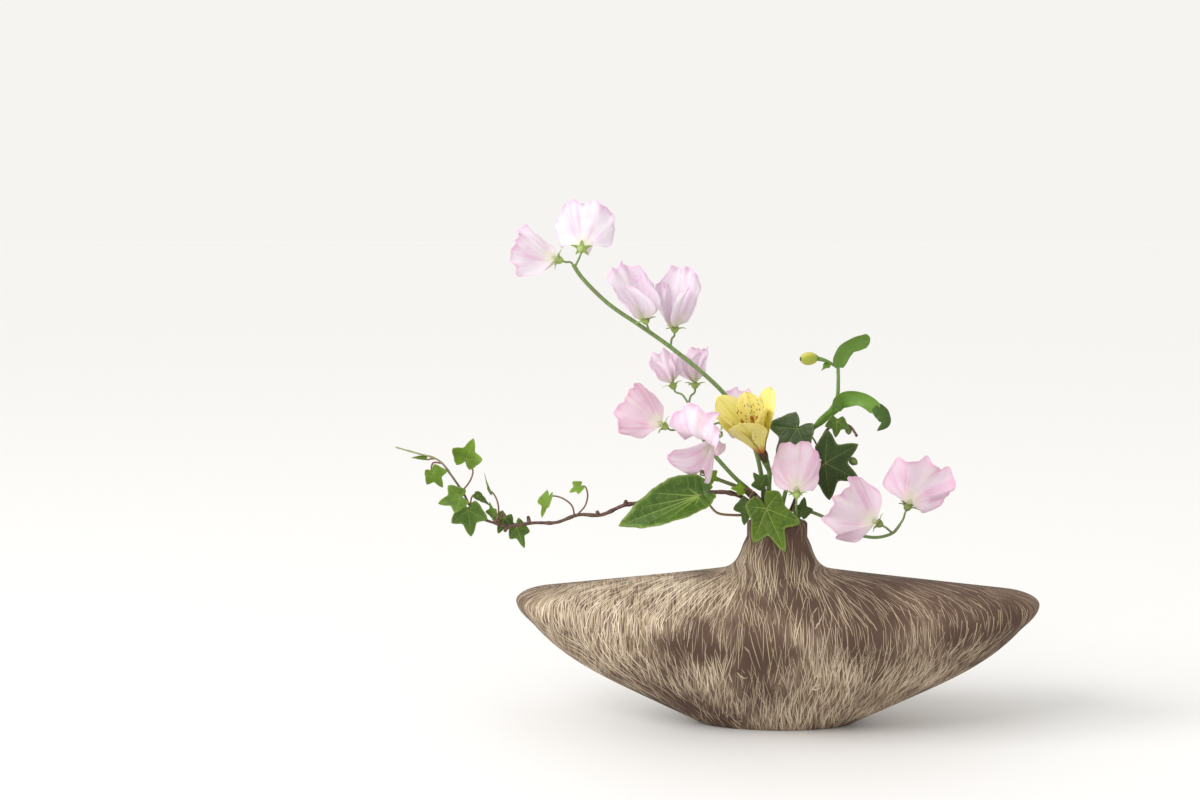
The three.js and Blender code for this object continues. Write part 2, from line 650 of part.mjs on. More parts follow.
const LEAVES = {
  ivy_leaf_big_left: { at: [-60, -30, 182], tip: [-121, -36, 161], face: [0.15, -0.75, 0.6],
    kind: "broad", width: 0.52, cup: 0.05, fold: 0.3, curl: 0.08, thick: 0.8 },
  ivy_leaf_front: { at: [-10, -28, 172], tip: [4, -36, 140], face: [0, -0.95, 0.1], kind: "star",
    width: 0.72, cup: -0.1, curl: -0.12, fold: 0.05 },
  ivy_leaf_dark_right: { at: [35, -9, 204], tip: [61, -9, 191], face: [0, -1, 0.1], kind: "star",
    width: 1.05, cup: -0.05, fold: -0.1, curl: 0.1 },
  ivy_leaf_dark_back: { at: [15, 6, 228], tip: [-2, 2, 206], face: [-0.3, -0.75, 0.6], width: 1.1 },
  ivy_leaf_loop: { at: [44, -5, 235], tip: [43, -7, 223], face: [0.1, -0.95, 0.3], width: 1.1 },
  ivy_leaf_neck_left: { at: [-23, -16.5, 173], tip: [-27, -20, 158], face: [-0.5, -0.8, 0.2] },
  ivy_leaf_neck_middle: { at: [-7, -15, 171], tip: [-12, -14, 186], face: [0.1, -0.95, 0.2] },
  ivy_leaf_neck_upper: { at: [-13, -13, 188], tip: [-19, -13, 197], face: [0, -0.9, 0.4] },
  ivy_leaf_neck_yellow: { at: [-28, -15, 184], tip: [-36, -17, 186], face: [0.1, -0.8, 0.6] },
  ivy_leaf_neck_right: { at: [17, -12, 166], tip: [20, -13, 178], face: [0.3, -0.9, 0.1] },
  cut_stem_leaf: { at: [-52, -16.5, 194.5], tip: [-43.5, -17, 191], face: [0, -0.8, 0.6] },
  vine_leaf_01: { at: [-235, -29, 208], tip: [-229, -33, 224], face: [0.2, -0.8, 0.55], cup: 0.5 },
  vine_leaf_02: { at: [-259.5, -31.6, 198.6], tip: [-252, -33, 187.5], face: [0.2, -0.95, 0.3] },
  vine_leaf_03: { at: [-239, -36, 180], tip: [-255, -40, 177], face: [-0.2, -0.9, 0.4] },
  vine_leaf_04: { at: [-233, -33, 170], tip: [-231, -34, 150], face: [0.1, -0.95, 0.2] },
  vine_leaf_05: { at: [-217, -26, 183], tip: [-223, -27, 197], face: [-0.9, -0.35, 0], kind: "lance" },
  vine_leaf_06: { at: [-228, -22, 180], tip: [-217, -23, 173], face: [0.4, -0.5, 0.75], kind: "lance",
    width: 1.4 },
  vine_leaf_07: { at: [-214, -31, 167], tip: [-218, -32, 176], face: [-0.7, -0.6, 0.2] },
  vine_leaf_08: { at: [-207, -18, 162], tip: [-212, -19, 150], face: [0.2, 0.9, 0.3] },
  vine_leaf_09: { at: [-198, -17, 155], tip: [-192, -20, 139], face: [-0.2, 0.95, 0.2], width: 0.7 },
  vine_leaf_10: { at: [-174, -21, 178], tip: [-180, -24, 164], face: [-0.85, -0.5, 0.2] },
  vine_leaf_11: { at: [-150, -22, 187], tip: [-158, -23, 183], face: [0.1, -0.7, 0.7] },
  vine_leaf_12: { at: [-266, -28, 209], tip: [-276, -29, 210], face: [0.1, -0.6, 0.8], kind: "lance" },
};

// ---------------------------------------------------------------- stems, sprays and sprigs
function tallPeaStem() {
  const main = standingStem(SLOT.tallPea, [[-8.5, 4, 168], [-11.5, 2, 188], [-17, 0, 212], [-28, -1, 236],
    [-40, -2, 254], [-55, -3, 269], [-82, -5, 291], [-106, -7, 308], [-129, -9, 324], [-149, -11, 344],
    [-155, -12, 353]],
  STEM.pea, STEM.pea * 0.8);
  return fuse([
    main,
    pedicel([-154, -12, 351.5], [[-157, -12, 355]], BLOOMS.sweet_pea_bloom_a1),
    pedicel([-154, -12, 351.5], [[-151, -17, 357]], BLOOMS.sweet_pea_bloom_a2),
    pedicel([-92, -6, 298.5], [[-95, -8, 306]], BLOOMS.sweet_pea_bloom_a3),
    pedicel([-82, -5, 291], [[-81, -1, 297]], BLOOMS.sweet_pea_bloom_a4),
    ...["a1", "a2", "a3", "a4"].map((name) => calyxCup(BLOOMS[`sweet_pea_bloom_${name}`])),
  ]);
}

function leftPeaStem() {
  const main = standingStem(SLOT.leftPea, [[-14.5, 1.5, 163], [-18, -1, 177], [-34, -6, 193], [-52, -9, 214],
    [-60, -7, 227], [-66, -2, 240], [-68.5, 2, 249]], STEM.pea, STEM.pea * 0.75);
  return fuse([
    main,
    pedicel([-68, 1, 247], [[-73, 5, 254]], BLOOMS.sweet_pea_bloom_b1),
    pedicel([-68, 1, 247], [[-66.5, 7, 253]], BLOOMS.sweet_pea_bloom_b2),
    pedicel([-60, -7, 227], [[-68, -6, 228], [-75, -10, 229]], BLOOMS.sweet_pea_bloom_b3),
    pedicel([-55, -8.5, 218], [[-46, -8, 222], [-41, -14, 227]], BLOOMS.sweet_pea_bloom_b4),
    pedicel([-59, -7.5, 225], [[-54, -1, 229]], BLOOMS.sweet_pea_bloom_b5),
    ...["b1", "b2", "b3", "b4", "b5"].map((name) => calyxCup(BLOOMS[`sweet_pea_bloom_${name}`])),
  ]);
}

function rightPeaStem() {
  const main = standingStem(SLOT.rightPea, [[14.5, -1, 158], [21, -3, 165.5], [32, -4, 163], [47, -4, 154.5],
    [63, -6, 148], [76, -8, 147], [87, -10, 151], [92, -12, 158]], STEM.slimPea, STEM.slimPea * 0.75);
  return fuse([
    main,
    pedicel([90, -11, 155], [[94, -13, 162]], BLOOMS.sweet_pea_bloom_c2),
    pedicel([86, -10, 151], [[83, -15, 154]], BLOOMS.sweet_pea_bloom_c1),
    ...["c1", "c2"].map((name) => calyxCup(BLOOMS[`sweet_pea_bloom_${name}`])),
  ]);
}

function frontPeaStem() {
  const bloom = BLOOMS.sweet_pea_bloom_d1;
  const main = standingStem(SLOT.frontPea, [[9, -11, 158.5], [11.5, -17.5, 163], [12.5, -24, 166],
    [12, -29.5, 171.5]], STEM.finePea, STEM.finePea * 0.8);
  return fuse([main, pedicel([12, -29, 170.5], [], bloom), calyxCup(bloom)]);
}

function lilyStem() {
  const place = organFrame(LILY_BLOOM.base, LILY_BLOOM.forward, LILY_BLOOM.up);
  const under = [place(0, -10, 0), place(0, -4, 0), place(0, 0, 0)].map((p) => p.toArray());
  return fuse([
    standingStem(SLOT.lily, [[-3, -6, 165], [-7, -9, 182], under[0], under[1]], STEM.lily, STEM.lily),
    stem([under[0], under[1], under[2]], STEM.lily * 0.9, 2.9, { sides: 8 }),
  ]);
}

function shootStem() {
  return fuse([
    standingStem(SLOT.shoot, [[5, 4, 174], [14, 8, 200], [26, 9, 226], [38, 7, 240], [44.5, 6, 251],
      [45.5, 6, 264], [45, 6, 278]], STEM.lily, STEM.lily * 0.7),
    stem([[44.5, 6, 275], [40, 4, 278], [33, 1, 281], [28, 0, 281]], PEDICEL + 0.2, PEDICEL),
    strapLeaf([[41, 6, 243.5], [36, 2, 240], [30, 1, 232], [25, 4, 227]],
      [[-0.5, -0.3, 0.8], [-0.5, -0.3, 0.8]], 3.4, { along: 4 }),
    strapLeaf([[41, 6.5, 243], [48, 4, 251.5], [60, -1, 254], [70, -4, 247.5], [76, -6, 240], [80, -8, 232]],
      [[-0.5, -0.7, 0.4], [0.9, -0.3, 0.5]], 6.5, { blunt: 0.5 }),
    strapLeaf([[45, 6, 275], [47, 4, 285], [53.5, 3, 290], [61, 4, 291.5], [69, 6, 292]],
      [[-0.9, -0.5, 0.1], [-0.2, -0.5, 0.9]], 6, { blunt: 0.6 }),
    strapLeaf([[38, 3.5, 278.5], [34, 1, 276], [31, 0, 273]],
      [[0, 0.8, 0.3], [0, 0.8, 0.3]], 2.2, { along: 3 }),
  ]);
}

function cutStem() {
  return fuse([
    standingStem(SLOT.cutStem, [[-10, -3, 158], [-17, -5, 172.5], [-27, -7.5, 183], [-47, -12, 192],
      [-68, -14, 203]], STEM.cut, STEM.cut * 0.9),
    leafStalk([-58, -13, 198], [[-59, -15, 195.5]], "cut_stem_leaf"),
  ]);
}

function vineStem() {
  const main = standingStem(SLOT.vine, [[-15.5, -4.4, 160], [-24, -8.2, 175], [-37, -11, 181],
    [-56, -12, 181], [-83, -14, 178], [-104, -16, 174], [-117, -18, 172], [-134, -20, 165], [-151, -20, 165],
    [-168, -20, 159], [-184, -22, 159], [-204, -24, 157], [-216, -26, 160], [-227, -27, 165],
    [-232, -28, 172], [-237, -28, 182], [-247, -28, 197], [-253, -28, 205], [-259, -28, 209],
    [-270, -28, 212], [-288, -28, 217]], STEM.vine, PETIOLE, { sides: 5 });
  const spur = (from, to) => stem([from, to], 1.5, 1.1, { sides: 5, perSpan: 1 });
  return fuse([
    main,
    spur([-188, -22.5, 158.5], [-189, -22.5, 164]),
    spur([-204, -24, 157], [-206.5, -26, 153]),
    spur([-136, -20, 165], [-137, -21, 168]),
    spur([-116, -18, 172.5], [-115, -19, 176]),
    leafStalk([-16.5, -4.4, 163], [[-22, -10, 164], [-34, -17, 165], [-47, -23, 168]],
      "ivy_leaf_big_left", 0.9),
    leafStalk([-238, -28, 184], [[-232, -28, 192], [-230, -28, 200]], "vine_leaf_01"),
    leafStalk([-253, -28, 205], [[-260, -26.5, 205]], "vine_leaf_02"),
    leafStalk([-233, -28, 174], [[-234, -31, 176]], "vine_leaf_03"),
    leafStalk([-231, -28, 171], [[-231, -31, 172]], "vine_leaf_04"),
    leafStalk([-213, -25, 159], [[-211, -25, 168], [-212, -25, 176]], "vine_leaf_05"),
    leafStalk([-231, -28, 171], [[-232, -25, 176]], "vine_leaf_06"),
    leafStalk([-214, -26, 160], [[-212, -29, 163]], "vine_leaf_07"),
    leafStalk([-213, -25, 159], [[-208, -22, 166]], "vine_leaf_08"),
    leafStalk([-196, -23.5, 157.5], [[-199, -20, 158]], "vine_leaf_09"),
    leafStalk([-154, -20, 164], [[-156, -20, 172], [-164, -20, 178]], "vine_leaf_10"),
    leafStalk([-152, -20, 165], [[-146, -20, 172], [-144, -21, 181], [-146, -22, 187]], "vine_leaf_11"),
    leafStalk([-258, -28, 208.5], [[-262, -27, 208]], "vine_leaf_12"),
  ]);
}

function frontSprig() {
  return fuse([
    standingStem(SLOT.frontSprig, [[-5, -10.5, 160], [-9, -11, 170], [-14, -12, 177], [-19, -13, 182]],
      STEM.sprig, STEM.sprig * 0.8),
    leafStalk([-16, -12.5, 179], [[-16, -20, 179.5]], "ivy_leaf_front"),
    leafStalk([-18, -13, 181], [[-21, -14, 180.5]], "ivy_leaf_neck_left"),
    leafStalk([-6, -10.6, 163], [[-7, -11, 167]], "ivy_leaf_neck_middle"),
    leafStalk([-11, -11.4, 173], [[-10.5, -9, 181]], "ivy_leaf_neck_upper"),
    leafStalk([-18.5, -13, 181.5], [[-22, -10.5, 184]], "ivy_leaf_neck_yellow"),
  ]);
}

function rightSprig() {
  return fuse([
    standingStem(SLOT.rightSprig, [[9, 6.5, 160], [15, 5, 176], [23, 3, 195], [31, 1, 213], [36, -1, 227],
      [44, -1, 233], [54, -3, 231], [59, -6, 224]], STEM.woodySprig, 0.9),
    leafStalk([23, 3, 195], [[27, -3, 202]], "ivy_leaf_dark_right"),
    leafStalk([31, 1, 213], [[26, 4, 222]], "ivy_leaf_dark_back"),
    leafStalk([46, -1, 233.5], [], "ivy_leaf_loop"),
    leafStalk([10.5, 6.3, 164], [[14, -2, 166]], "ivy_leaf_neck_right"),
    stem([[24, 2.8, 198], [21, -8, 205], [15.3, -11.3, 215.5]], TWIG, TWIG, { sides: 5 }),
    bud([15, -11.5, 217], [-0.2, -0.2, 0.9], 7, 2.4),
    stem([[32, 0.6, 216], [44, 2, 212], [54, 0, 206]], TWIG, TWIG, { sides: 5 }),
    bud([57, -0.6, 204], [0.8, -0.2, -0.5], 8, 2.8),
    bud([53, -2, 228], [0.1, -0.2, -1], 7, 2.4),
  ]);
}

// ---------------------------------------------------------------- the arrangement
const finish = (color, roughness) => new THREE.MeshStandardMaterial({ color, roughness, metalness: 0 });
const clay = finish(0x6e5244, 0.75);
const clearWater = finish(0xa9c4cc, 0.1);
const petalPink = finish(0xecc4de, 0.55);
const petalYellow = finish(0xf2dc55, 0.5);
const stemGreen = finish(0x6f8f4e, 0.55);
const vineBrown = finish(0x5d3b33, 0.7);
const leafGreen = finish(0x3f7a2a, 0.45);
const leafDark = finish(0x22452a, 0.4);

const arrangement = new THREE.Group();

function addPiece(name, geometry, material) {
  const piece = new THREE.Mesh(geometry, material);
  piece.name = name;
  arrangement.add(piece);
}

addPiece("vase", vase(), clay);
addPiece("water", water([
  [SLOT.tallPea, STEM.pea], [SLOT.leftPea, STEM.pea], [SLOT.rightPea, STEM.slimPea],
  [SLOT.frontPea, STEM.finePea], [SLOT.lily, STEM.lily], [SLOT.shoot, STEM.lily],
  [SLOT.cutStem, STEM.cut], [SLOT.vine, STEM.vine], [SLOT.frontSprig, STEM.sprig],
  [SLOT.rightSprig, STEM.woodySprig],
]), clearWater);
addPiece("sweet_pea_stem_a", tallPeaStem(), stemGreen);
addPiece("sweet_pea_stem_b", leftPeaStem(), stemGreen);
addPiece("sweet_pea_stem_c", rightPeaStem(), stemGreen);
addPiece("sweet_pea_stem_d", frontPeaStem(), stemGreen);
for (const [name, bloom] of Object.entries(BLOOMS)) addPiece(name, sweetPeaBloom(bloom), petalPink);
addPiece("alstroemeria_stem", lilyStem(), stemGreen);
addPiece("alstroemeria_bloom", lilyBloom(LILY_BLOOM), petalYellow);
addPiece("alstroemeria_shoot", shootStem(), stemGreen);
addPiece("alstroemeria_bud", bud([20.8, -1.8, 282.4], [-0.95, -0.25, 0.1], 15, 4.6, 8), petalYellow);
addPiece("cut_stem", cutStem(), stemGreen);
addPiece("ivy_vine", vineStem(), vineBrown);
addPiece("ivy_sprig_front", frontSprig(), vineBrown);
addPiece("ivy_sprig_right", rightSprig(), vineBrown);
const FINE_LEAVES = ["ivy_leaf_big_left", "ivy_leaf_front", "ivy_leaf_dark_right"];
for (const [name, leaf] of Object.entries(LEAVES)) {
  const fine = FINE_LEAVES.includes(name);
  const material = name.includes("dark") || name.includes("neck") ? leafDark : leafGreen;
  addPiece(name, leafBlade(leaf, fine ? 2 : 1, fine ? 3 : 2), material);
}

export default arrangement;
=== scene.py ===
"""A low ikebana arrangement in its boat-shaped vase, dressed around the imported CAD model."""
import math
from dataclasses import dataclass

import bpy
import numpy as np
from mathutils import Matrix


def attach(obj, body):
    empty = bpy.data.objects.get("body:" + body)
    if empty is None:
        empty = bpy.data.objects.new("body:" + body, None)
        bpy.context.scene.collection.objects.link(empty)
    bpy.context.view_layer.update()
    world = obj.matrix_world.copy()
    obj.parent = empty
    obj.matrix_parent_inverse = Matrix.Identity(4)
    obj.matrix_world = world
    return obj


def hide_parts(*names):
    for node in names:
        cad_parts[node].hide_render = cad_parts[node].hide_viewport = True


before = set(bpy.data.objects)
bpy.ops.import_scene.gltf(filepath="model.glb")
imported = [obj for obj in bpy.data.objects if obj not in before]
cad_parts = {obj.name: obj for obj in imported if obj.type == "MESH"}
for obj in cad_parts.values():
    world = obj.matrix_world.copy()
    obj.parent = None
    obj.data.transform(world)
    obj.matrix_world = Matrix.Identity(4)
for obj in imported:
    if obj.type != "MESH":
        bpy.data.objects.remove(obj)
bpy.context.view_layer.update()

MM = 0.001
NO_MARKS = (0.0, 0.0, 0.0)

# ---------------------------------------------------------------- driving dimensions, millimetres
VASE_HALF_WIDTH = 200
VASE_HALF_DEPTH = 70
VASE_HEIGHT = 158
FOOT_HALF_WIDTH = 57.5
FOOT_HALF_DEPTH = 23
RIDGE_TIP_HEIGHT = 95
RIDGE_FRONT_HEIGHT = 79
SHOULDER_TOP = 121
SHOULDER_TIP_DROP = 7.5
SHOULDER_FRONT_BOW = 0.35
NECK_RISE = 27
NECK_SPAN = 0.031
MOUTH_HALF_WIDTH = 23
MOUTH_HALF_DEPTH = 19
MOUTH_WALL = 5
FOOT_ROUNDING = 2.5
FLOOR_THICKNESS = 7
BODY_WALL = 8
CAVITY_HALF_WIDTH = 189
CAVITY_HALF_DEPTH = 61
CAVITY_FLOOR_HALF_WIDTH = 46
CAVITY_FLOOR_HALF_DEPTH = 16
VASE_SIDES = 360
ROUNDED_FROM = 0.9  # share of the way out where the edge of the body starts to round over

# Radii of stems and stalks.
PEA_STEM = 1.9
SLIM_PEA_STEM = 1.5
FINE_PEA_STEM = 1.2
LILY_STEM = 1.9
CUT_STEM = 1.6
VINE_STEM = 2.0
SPRIG_STEM = 1.1
WOODY_SPRIG_STEM = 1.6
TWIG = 0.7
PEDICEL = 0.75
PETIOLE = 0.6

# How thick petals and leaves are.
PETAL = 0.34
SEPAL = 0.4
LEAF = 0.42
LILY_PETAL = 1.1 * PETAL
STRAP_LEAF = 1.3 * PETAL

# Each stem stands straight from its cut end to the top, through the water and the neck, each in a
# slot of its own.
STEM_FOOT = 16
STANDING_TOP = 146
STANDING_LENGTH = STANDING_TOP - STEM_FOOT
SLOT = {
    "tall_pea": (-7.5, 6),
    "left_pea": (-13, 2.5),
    "right_pea": (13, 0),
    "front_pea": (8, -8),
    "lily": (-1.5, -4),
    "shoot": (2, 2.5),
    "cut_stem": (-7.5, -1.5),
    "vine": (-13, -3.2),
    "front_sprig": (-3.5, -10.3),
    "right_sprig": (7, 6.5),
}

# Which organ a shell is, for its material.
BANNER, WING, KEEL, CLAW = range(4)  # of a sweet pea
STEM, STALK, CUP, STRAP = range(4)  # of a stem, where a cup is a calyx or the bud of a leaf
OUTER, INNER, OVARY, FILAMENT, ANTHER, BUD = range(6)  # of the alstroemeria


# ---------------------------------------------------------------- vectors and curves
def mix(a, b, t):
    return a + (b - a) * t


def smooth(value, low, high):
    """Runs smoothly from 0 where value is low to 1 where it is high."""
    t = np.clip((value - low) / (high - low), 0, 1)
    return t * t * (3 - 2 * t)


def unit(a):
    return a / np.maximum(np.linalg.norm(a, axis=-1, keepdims=True), 1e-9)


def organ_frame(origin, forward, up):
    """Right-handed axes for an organ that points forward, with its back side towards up."""
    ahead = unit(np.array(forward, float))
    above = np.array(up, float)
    above = unit(above - ahead * above.dot(ahead))
    right = np.cross(ahead, above)
    base = np.array(origin, float)

    def place(x, y, z):
        x, y, z = np.broadcast_arrays(*(np.asarray(a, float) for a in (x, y, z)))
        return base + x[..., None] * right + y[..., None] * ahead + z[..., None] * above

    return place


class Curve:
    """A smooth curve through the given points, which keeps its shape where they lie close."""

    def __init__(self, points):
        self.points = np.array(points, float)
        self.spans = len(points) - 1

    def at(self, t):
        """The points at shares t of the number of spans."""
        p = self.points
        place = np.clip(np.asarray(t, float), 0, 1) * self.spans
        span = np.minimum(place.astype(int), self.spans - 1)
        w = (place - span)[..., None]
        ends = np.vstack([2 * p[0] - p[1], p, 2 * p[-1] - p[-2]])
        p0, p1, p2, p3 = (ends[span + k] for k in range(4))
        d0, d1, d2 = (
            np.maximum(np.linalg.norm(b - a, axis=-1, keepdims=True) ** 0.5, 1e-4)
            for a, b in ((p0, p1), (p1, p2), (p2, p3))
        )
        m1 = ((p1 - p0) / d0 - (p2 - p0) / (d0 + d1) + (p2 - p1) / d1) * d1
        m2 = ((p2 - p1) / d1 - (p3 - p1) / (d1 + d2) + (p3 - p2) / d2) * d1
        return (
            p1 + m1 * w
            + (3 * (p2 - p1) - 2 * m1 - m2) * w**2
            + (2 * (p1 - p2) + m1 + m2) * w**3
        )

    def way(self, t):
        step = 1e-4
        t = np.clip(np.asarray(t, float), step, 1 - step)
        return unit(self.at(t + step) - self.at(t - step))


# ---------------------------------------------------------------- meshes
class Form:
    """Closed shells gathered into one mesh, with two rows of three numbers at each point.

    marks vary over a shell, such as the place across and along a petal; kinds are the same all
    over it, such as which organ it is.
    """

    def __init__(self):
        self.points = []
        self.faces = []
        self.marks = []
        self.kinds = []
        self.count = 0

    def add(self, points, faces, marks, kinds):
        triangles = np.array([(f[0], f[k], f[k + 1]) for f in faces for k in range(1, len(f) - 1)])
        a, b, c = (points[triangles[:, k]] for k in range(3))
        if np.einsum("ij,ij->", a, np.cross(b, c)) < 0:
            faces = [f[::-1] for f in faces]
        self.faces += [[i + self.count for i in f] for f in faces]
        self.points.append(points)
        self.marks.append(np.broadcast_to(marks, points.shape))
        self.kinds.append(np.broadcast_to(kinds, points.shape))
        self.count += len(points)

    def loft(self, rings, start, end, marks, kinds=NO_MARKS):
        """A shell through equal rings of points, closed at both ends by a fan to a pole."""
        rows, sides = rings.shape[:2]
        i = np.arange(sides)
        j = (i + 1) % sides
        low = 1 + sides * np.arange(rows - 1)[:, None]
        quads = np.stack([low + i, low + j, low + sides + j, low + sides + i], -1).reshape(-1, 4)
        last = 1 + (rows - 1) * sides
        first_fan = [[0, 1 + b, 1 + a] for a, b in zip(i.tolist(), j.tolist())]
        last_fan = [[last + a, last + b, last + sides] for a, b in zip(i.tolist(), j.tolist())]
        points = np.vstack([start, rings.reshape(-1, 3), end])
        marks = np.broadcast_to(marks, rings.shape)
        marks = np.vstack([marks[0, 0], marks.reshape(-1, 3), marks[-1, 0]])
        self.add(points, quads.tolist() + first_fan + last_fan, marks, kinds)

    def blade(self, surface, across, along, thickness, kinds):
        """A thin shell on surface(s, v), s across from -1 to 1 and v along from 0 to 1."""
        s, v = np.meshgrid(np.linspace(-1, 1, across + 1), np.linspace(0, 1, along + 1))
        step = 1e-3
        across_way = surface(s + step, v) - surface(s - step, v)
        along_way = surface(s, np.minimum(1, v + step)) - surface(s, np.maximum(0, v - step))
        rim_share = np.maximum(np.abs(s), v)[..., None] ** 6
        lift = unit(np.cross(across_way, along_way)) * thickness / 2 * (1 - 0.55 * rim_share)
        middle = surface(s, v)
        count = s.size
        index = np.arange(count).reshape(s.shape)
        corners = index[:-1, :-1], index[:-1, 1:], index[1:, 1:], index[1:, :-1]
        a, b, c, d = (corner.ravel() for corner in corners)
        rim = np.concatenate([index[0, :-1], index[:-1, -1], index[-1, :0:-1], index[:0:-1, 0]])
        after = np.roll(rim, -1)
        faces = np.vstack([
            np.stack([a, b, c, d], -1),
            np.stack([d, c, b, a], -1) + count,
            np.stack([rim, rim + count, after + count, after], -1),
        ])
        points = np.vstack([(middle + lift).reshape(-1, 3), (middle - lift).reshape(-1, 3)])
        marks = np.vstack([
            np.stack([s.ravel(), v.ravel(), np.full(count, float(back))], -1) for back in (0, 1)
        ])
        self.add(points, faces.tolist(), marks, kinds)

    def tube(self, points, start_radius, end_radius, sides=12, per_span=6, shape=None, kinds=NO_MARKS):
        """A round stem along a curve; shape(length along it) swells its radius."""
        curve = Curve(points)
        t = np.linspace(0, 1, curve.spans * per_span + 1)
        path = curve.at(t)
        way = curve.way(t)
        length = np.concatenate([[0], np.cumsum(np.linalg.norm(np.diff(path, axis=0), axis=1))])
        radius = mix(start_radius, end_radius, t)
        if shape is not None:
            radius = radius * shape(length)
        side = np.array([1, 0.13, 0.07])
        turn = np.linspace(0, 2 * math.pi, sides, endpoint=False)[:, None]
        rings = []
        for centre, ahead, reach in zip(path, way, radius):
            side = unit(side - ahead * side.dot(ahead))
            other = np.cross(ahead, side)
            rings.append(centre + reach * (np.cos(turn) * side + np.sin(turn) * other))
        marks = np.zeros((len(path), sides, 3))
        marks[..., 0] = length[:, None]
        marks[..., 1] = t[:, None]
        start = path[0] - way[0] * start_radius * 0.3
        end = path[-1] + way[-1] * end_radius * 0.5
        self.loft(np.array(rings), start, end, marks, kinds)

    def spindle(self, place, stations, sides=16, lobes=0, lobe_depth=0.0, *, kinds):
        """A round body along the frame's forward axis through [height, radius] stations."""
        profile = Curve([(height, radius, 0) for height, radius in stations])
        t = np.linspace(0, 1, 4 * len(stations))
        height, radius = profile.at(t)[:, 0], profile.at(t)[:, 1]
        turn = np.linspace(0, 2 * math.pi, sides, endpoint=False)
        reach = radius[:, None] * (1 + lobe_depth * np.cos(lobes * turn))
        rings = place(reach * np.cos(turn), height[:, None], reach * np.sin(turn))
        marks = np.zeros(rings.shape)
        marks[..., 0] = np.cos(lobes * turn)
        marks[..., 1] = t[:, None]
        ends = place(0, stations[0][0] - 0.2, 0), place(0, stations[-1][0] + 0.3, 0)
        self.loft(rings, ends[0], ends[1], marks, kinds)


def add_piece(name, form, material, replaces):
    """Makes the gathered shells one object that stands for a node of the frame."""
    mesh = bpy.data.meshes.new(name)
    mesh.from_pydata((np.vstack(form.points) * MM).tolist(), [], form.faces)
    for label, rows in (("marks", form.marks), ("kinds", form.kinds)):
        layer = mesh.attributes.new(label, "FLOAT_VECTOR", "POINT")
        layer.data.foreach_set("vector", np.vstack(rows).astype(np.float32).ravel())
    mesh.materials.append(material)
    mesh.shade_smooth()
    piece = bpy.data.objects.new(name, mesh)
    bpy.context.scene.collection.objects.link(piece)
    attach(piece, "root")
    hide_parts(replaces)


# ---------------------------------------------------------------- material nodes
class Field:
    """A number or a colour that varies over a surface: an output of a node."""

    def __init__(self, shade, socket):
        self.shade = shade
        self.socket = socket

    def __add__(self, other):
        return self.shade.math("ADD", self, other)

    def __sub__(self, other):
        return self.shade.math("SUBTRACT", self, other)

    def __rsub__(self, other):
        return self.shade.math("SUBTRACT", other, self)

    def __mul__(self, other):
        return self.shade.math("MULTIPLY", self, other)

    def __truediv__(self, other):
        return self.shade.math("DIVIDE", self, other)

    def __abs__(self):
        return self.shade.math("ABSOLUTE", self)

    def above(self, limit):
        """1 where this is above the limit, otherwise 0."""
        return self.shade.math("GREATER_THAN", self, limit)

    def step(self, low, high):
        """Runs smoothly from 0 where this is low to 1 where it is high."""
        inputs = {"Value": self, "From Min": low, "From Max": high}
        return self.shade.out(0, "ShaderNodeMapRange", inputs, interpolation_type="SMOOTHSTEP")


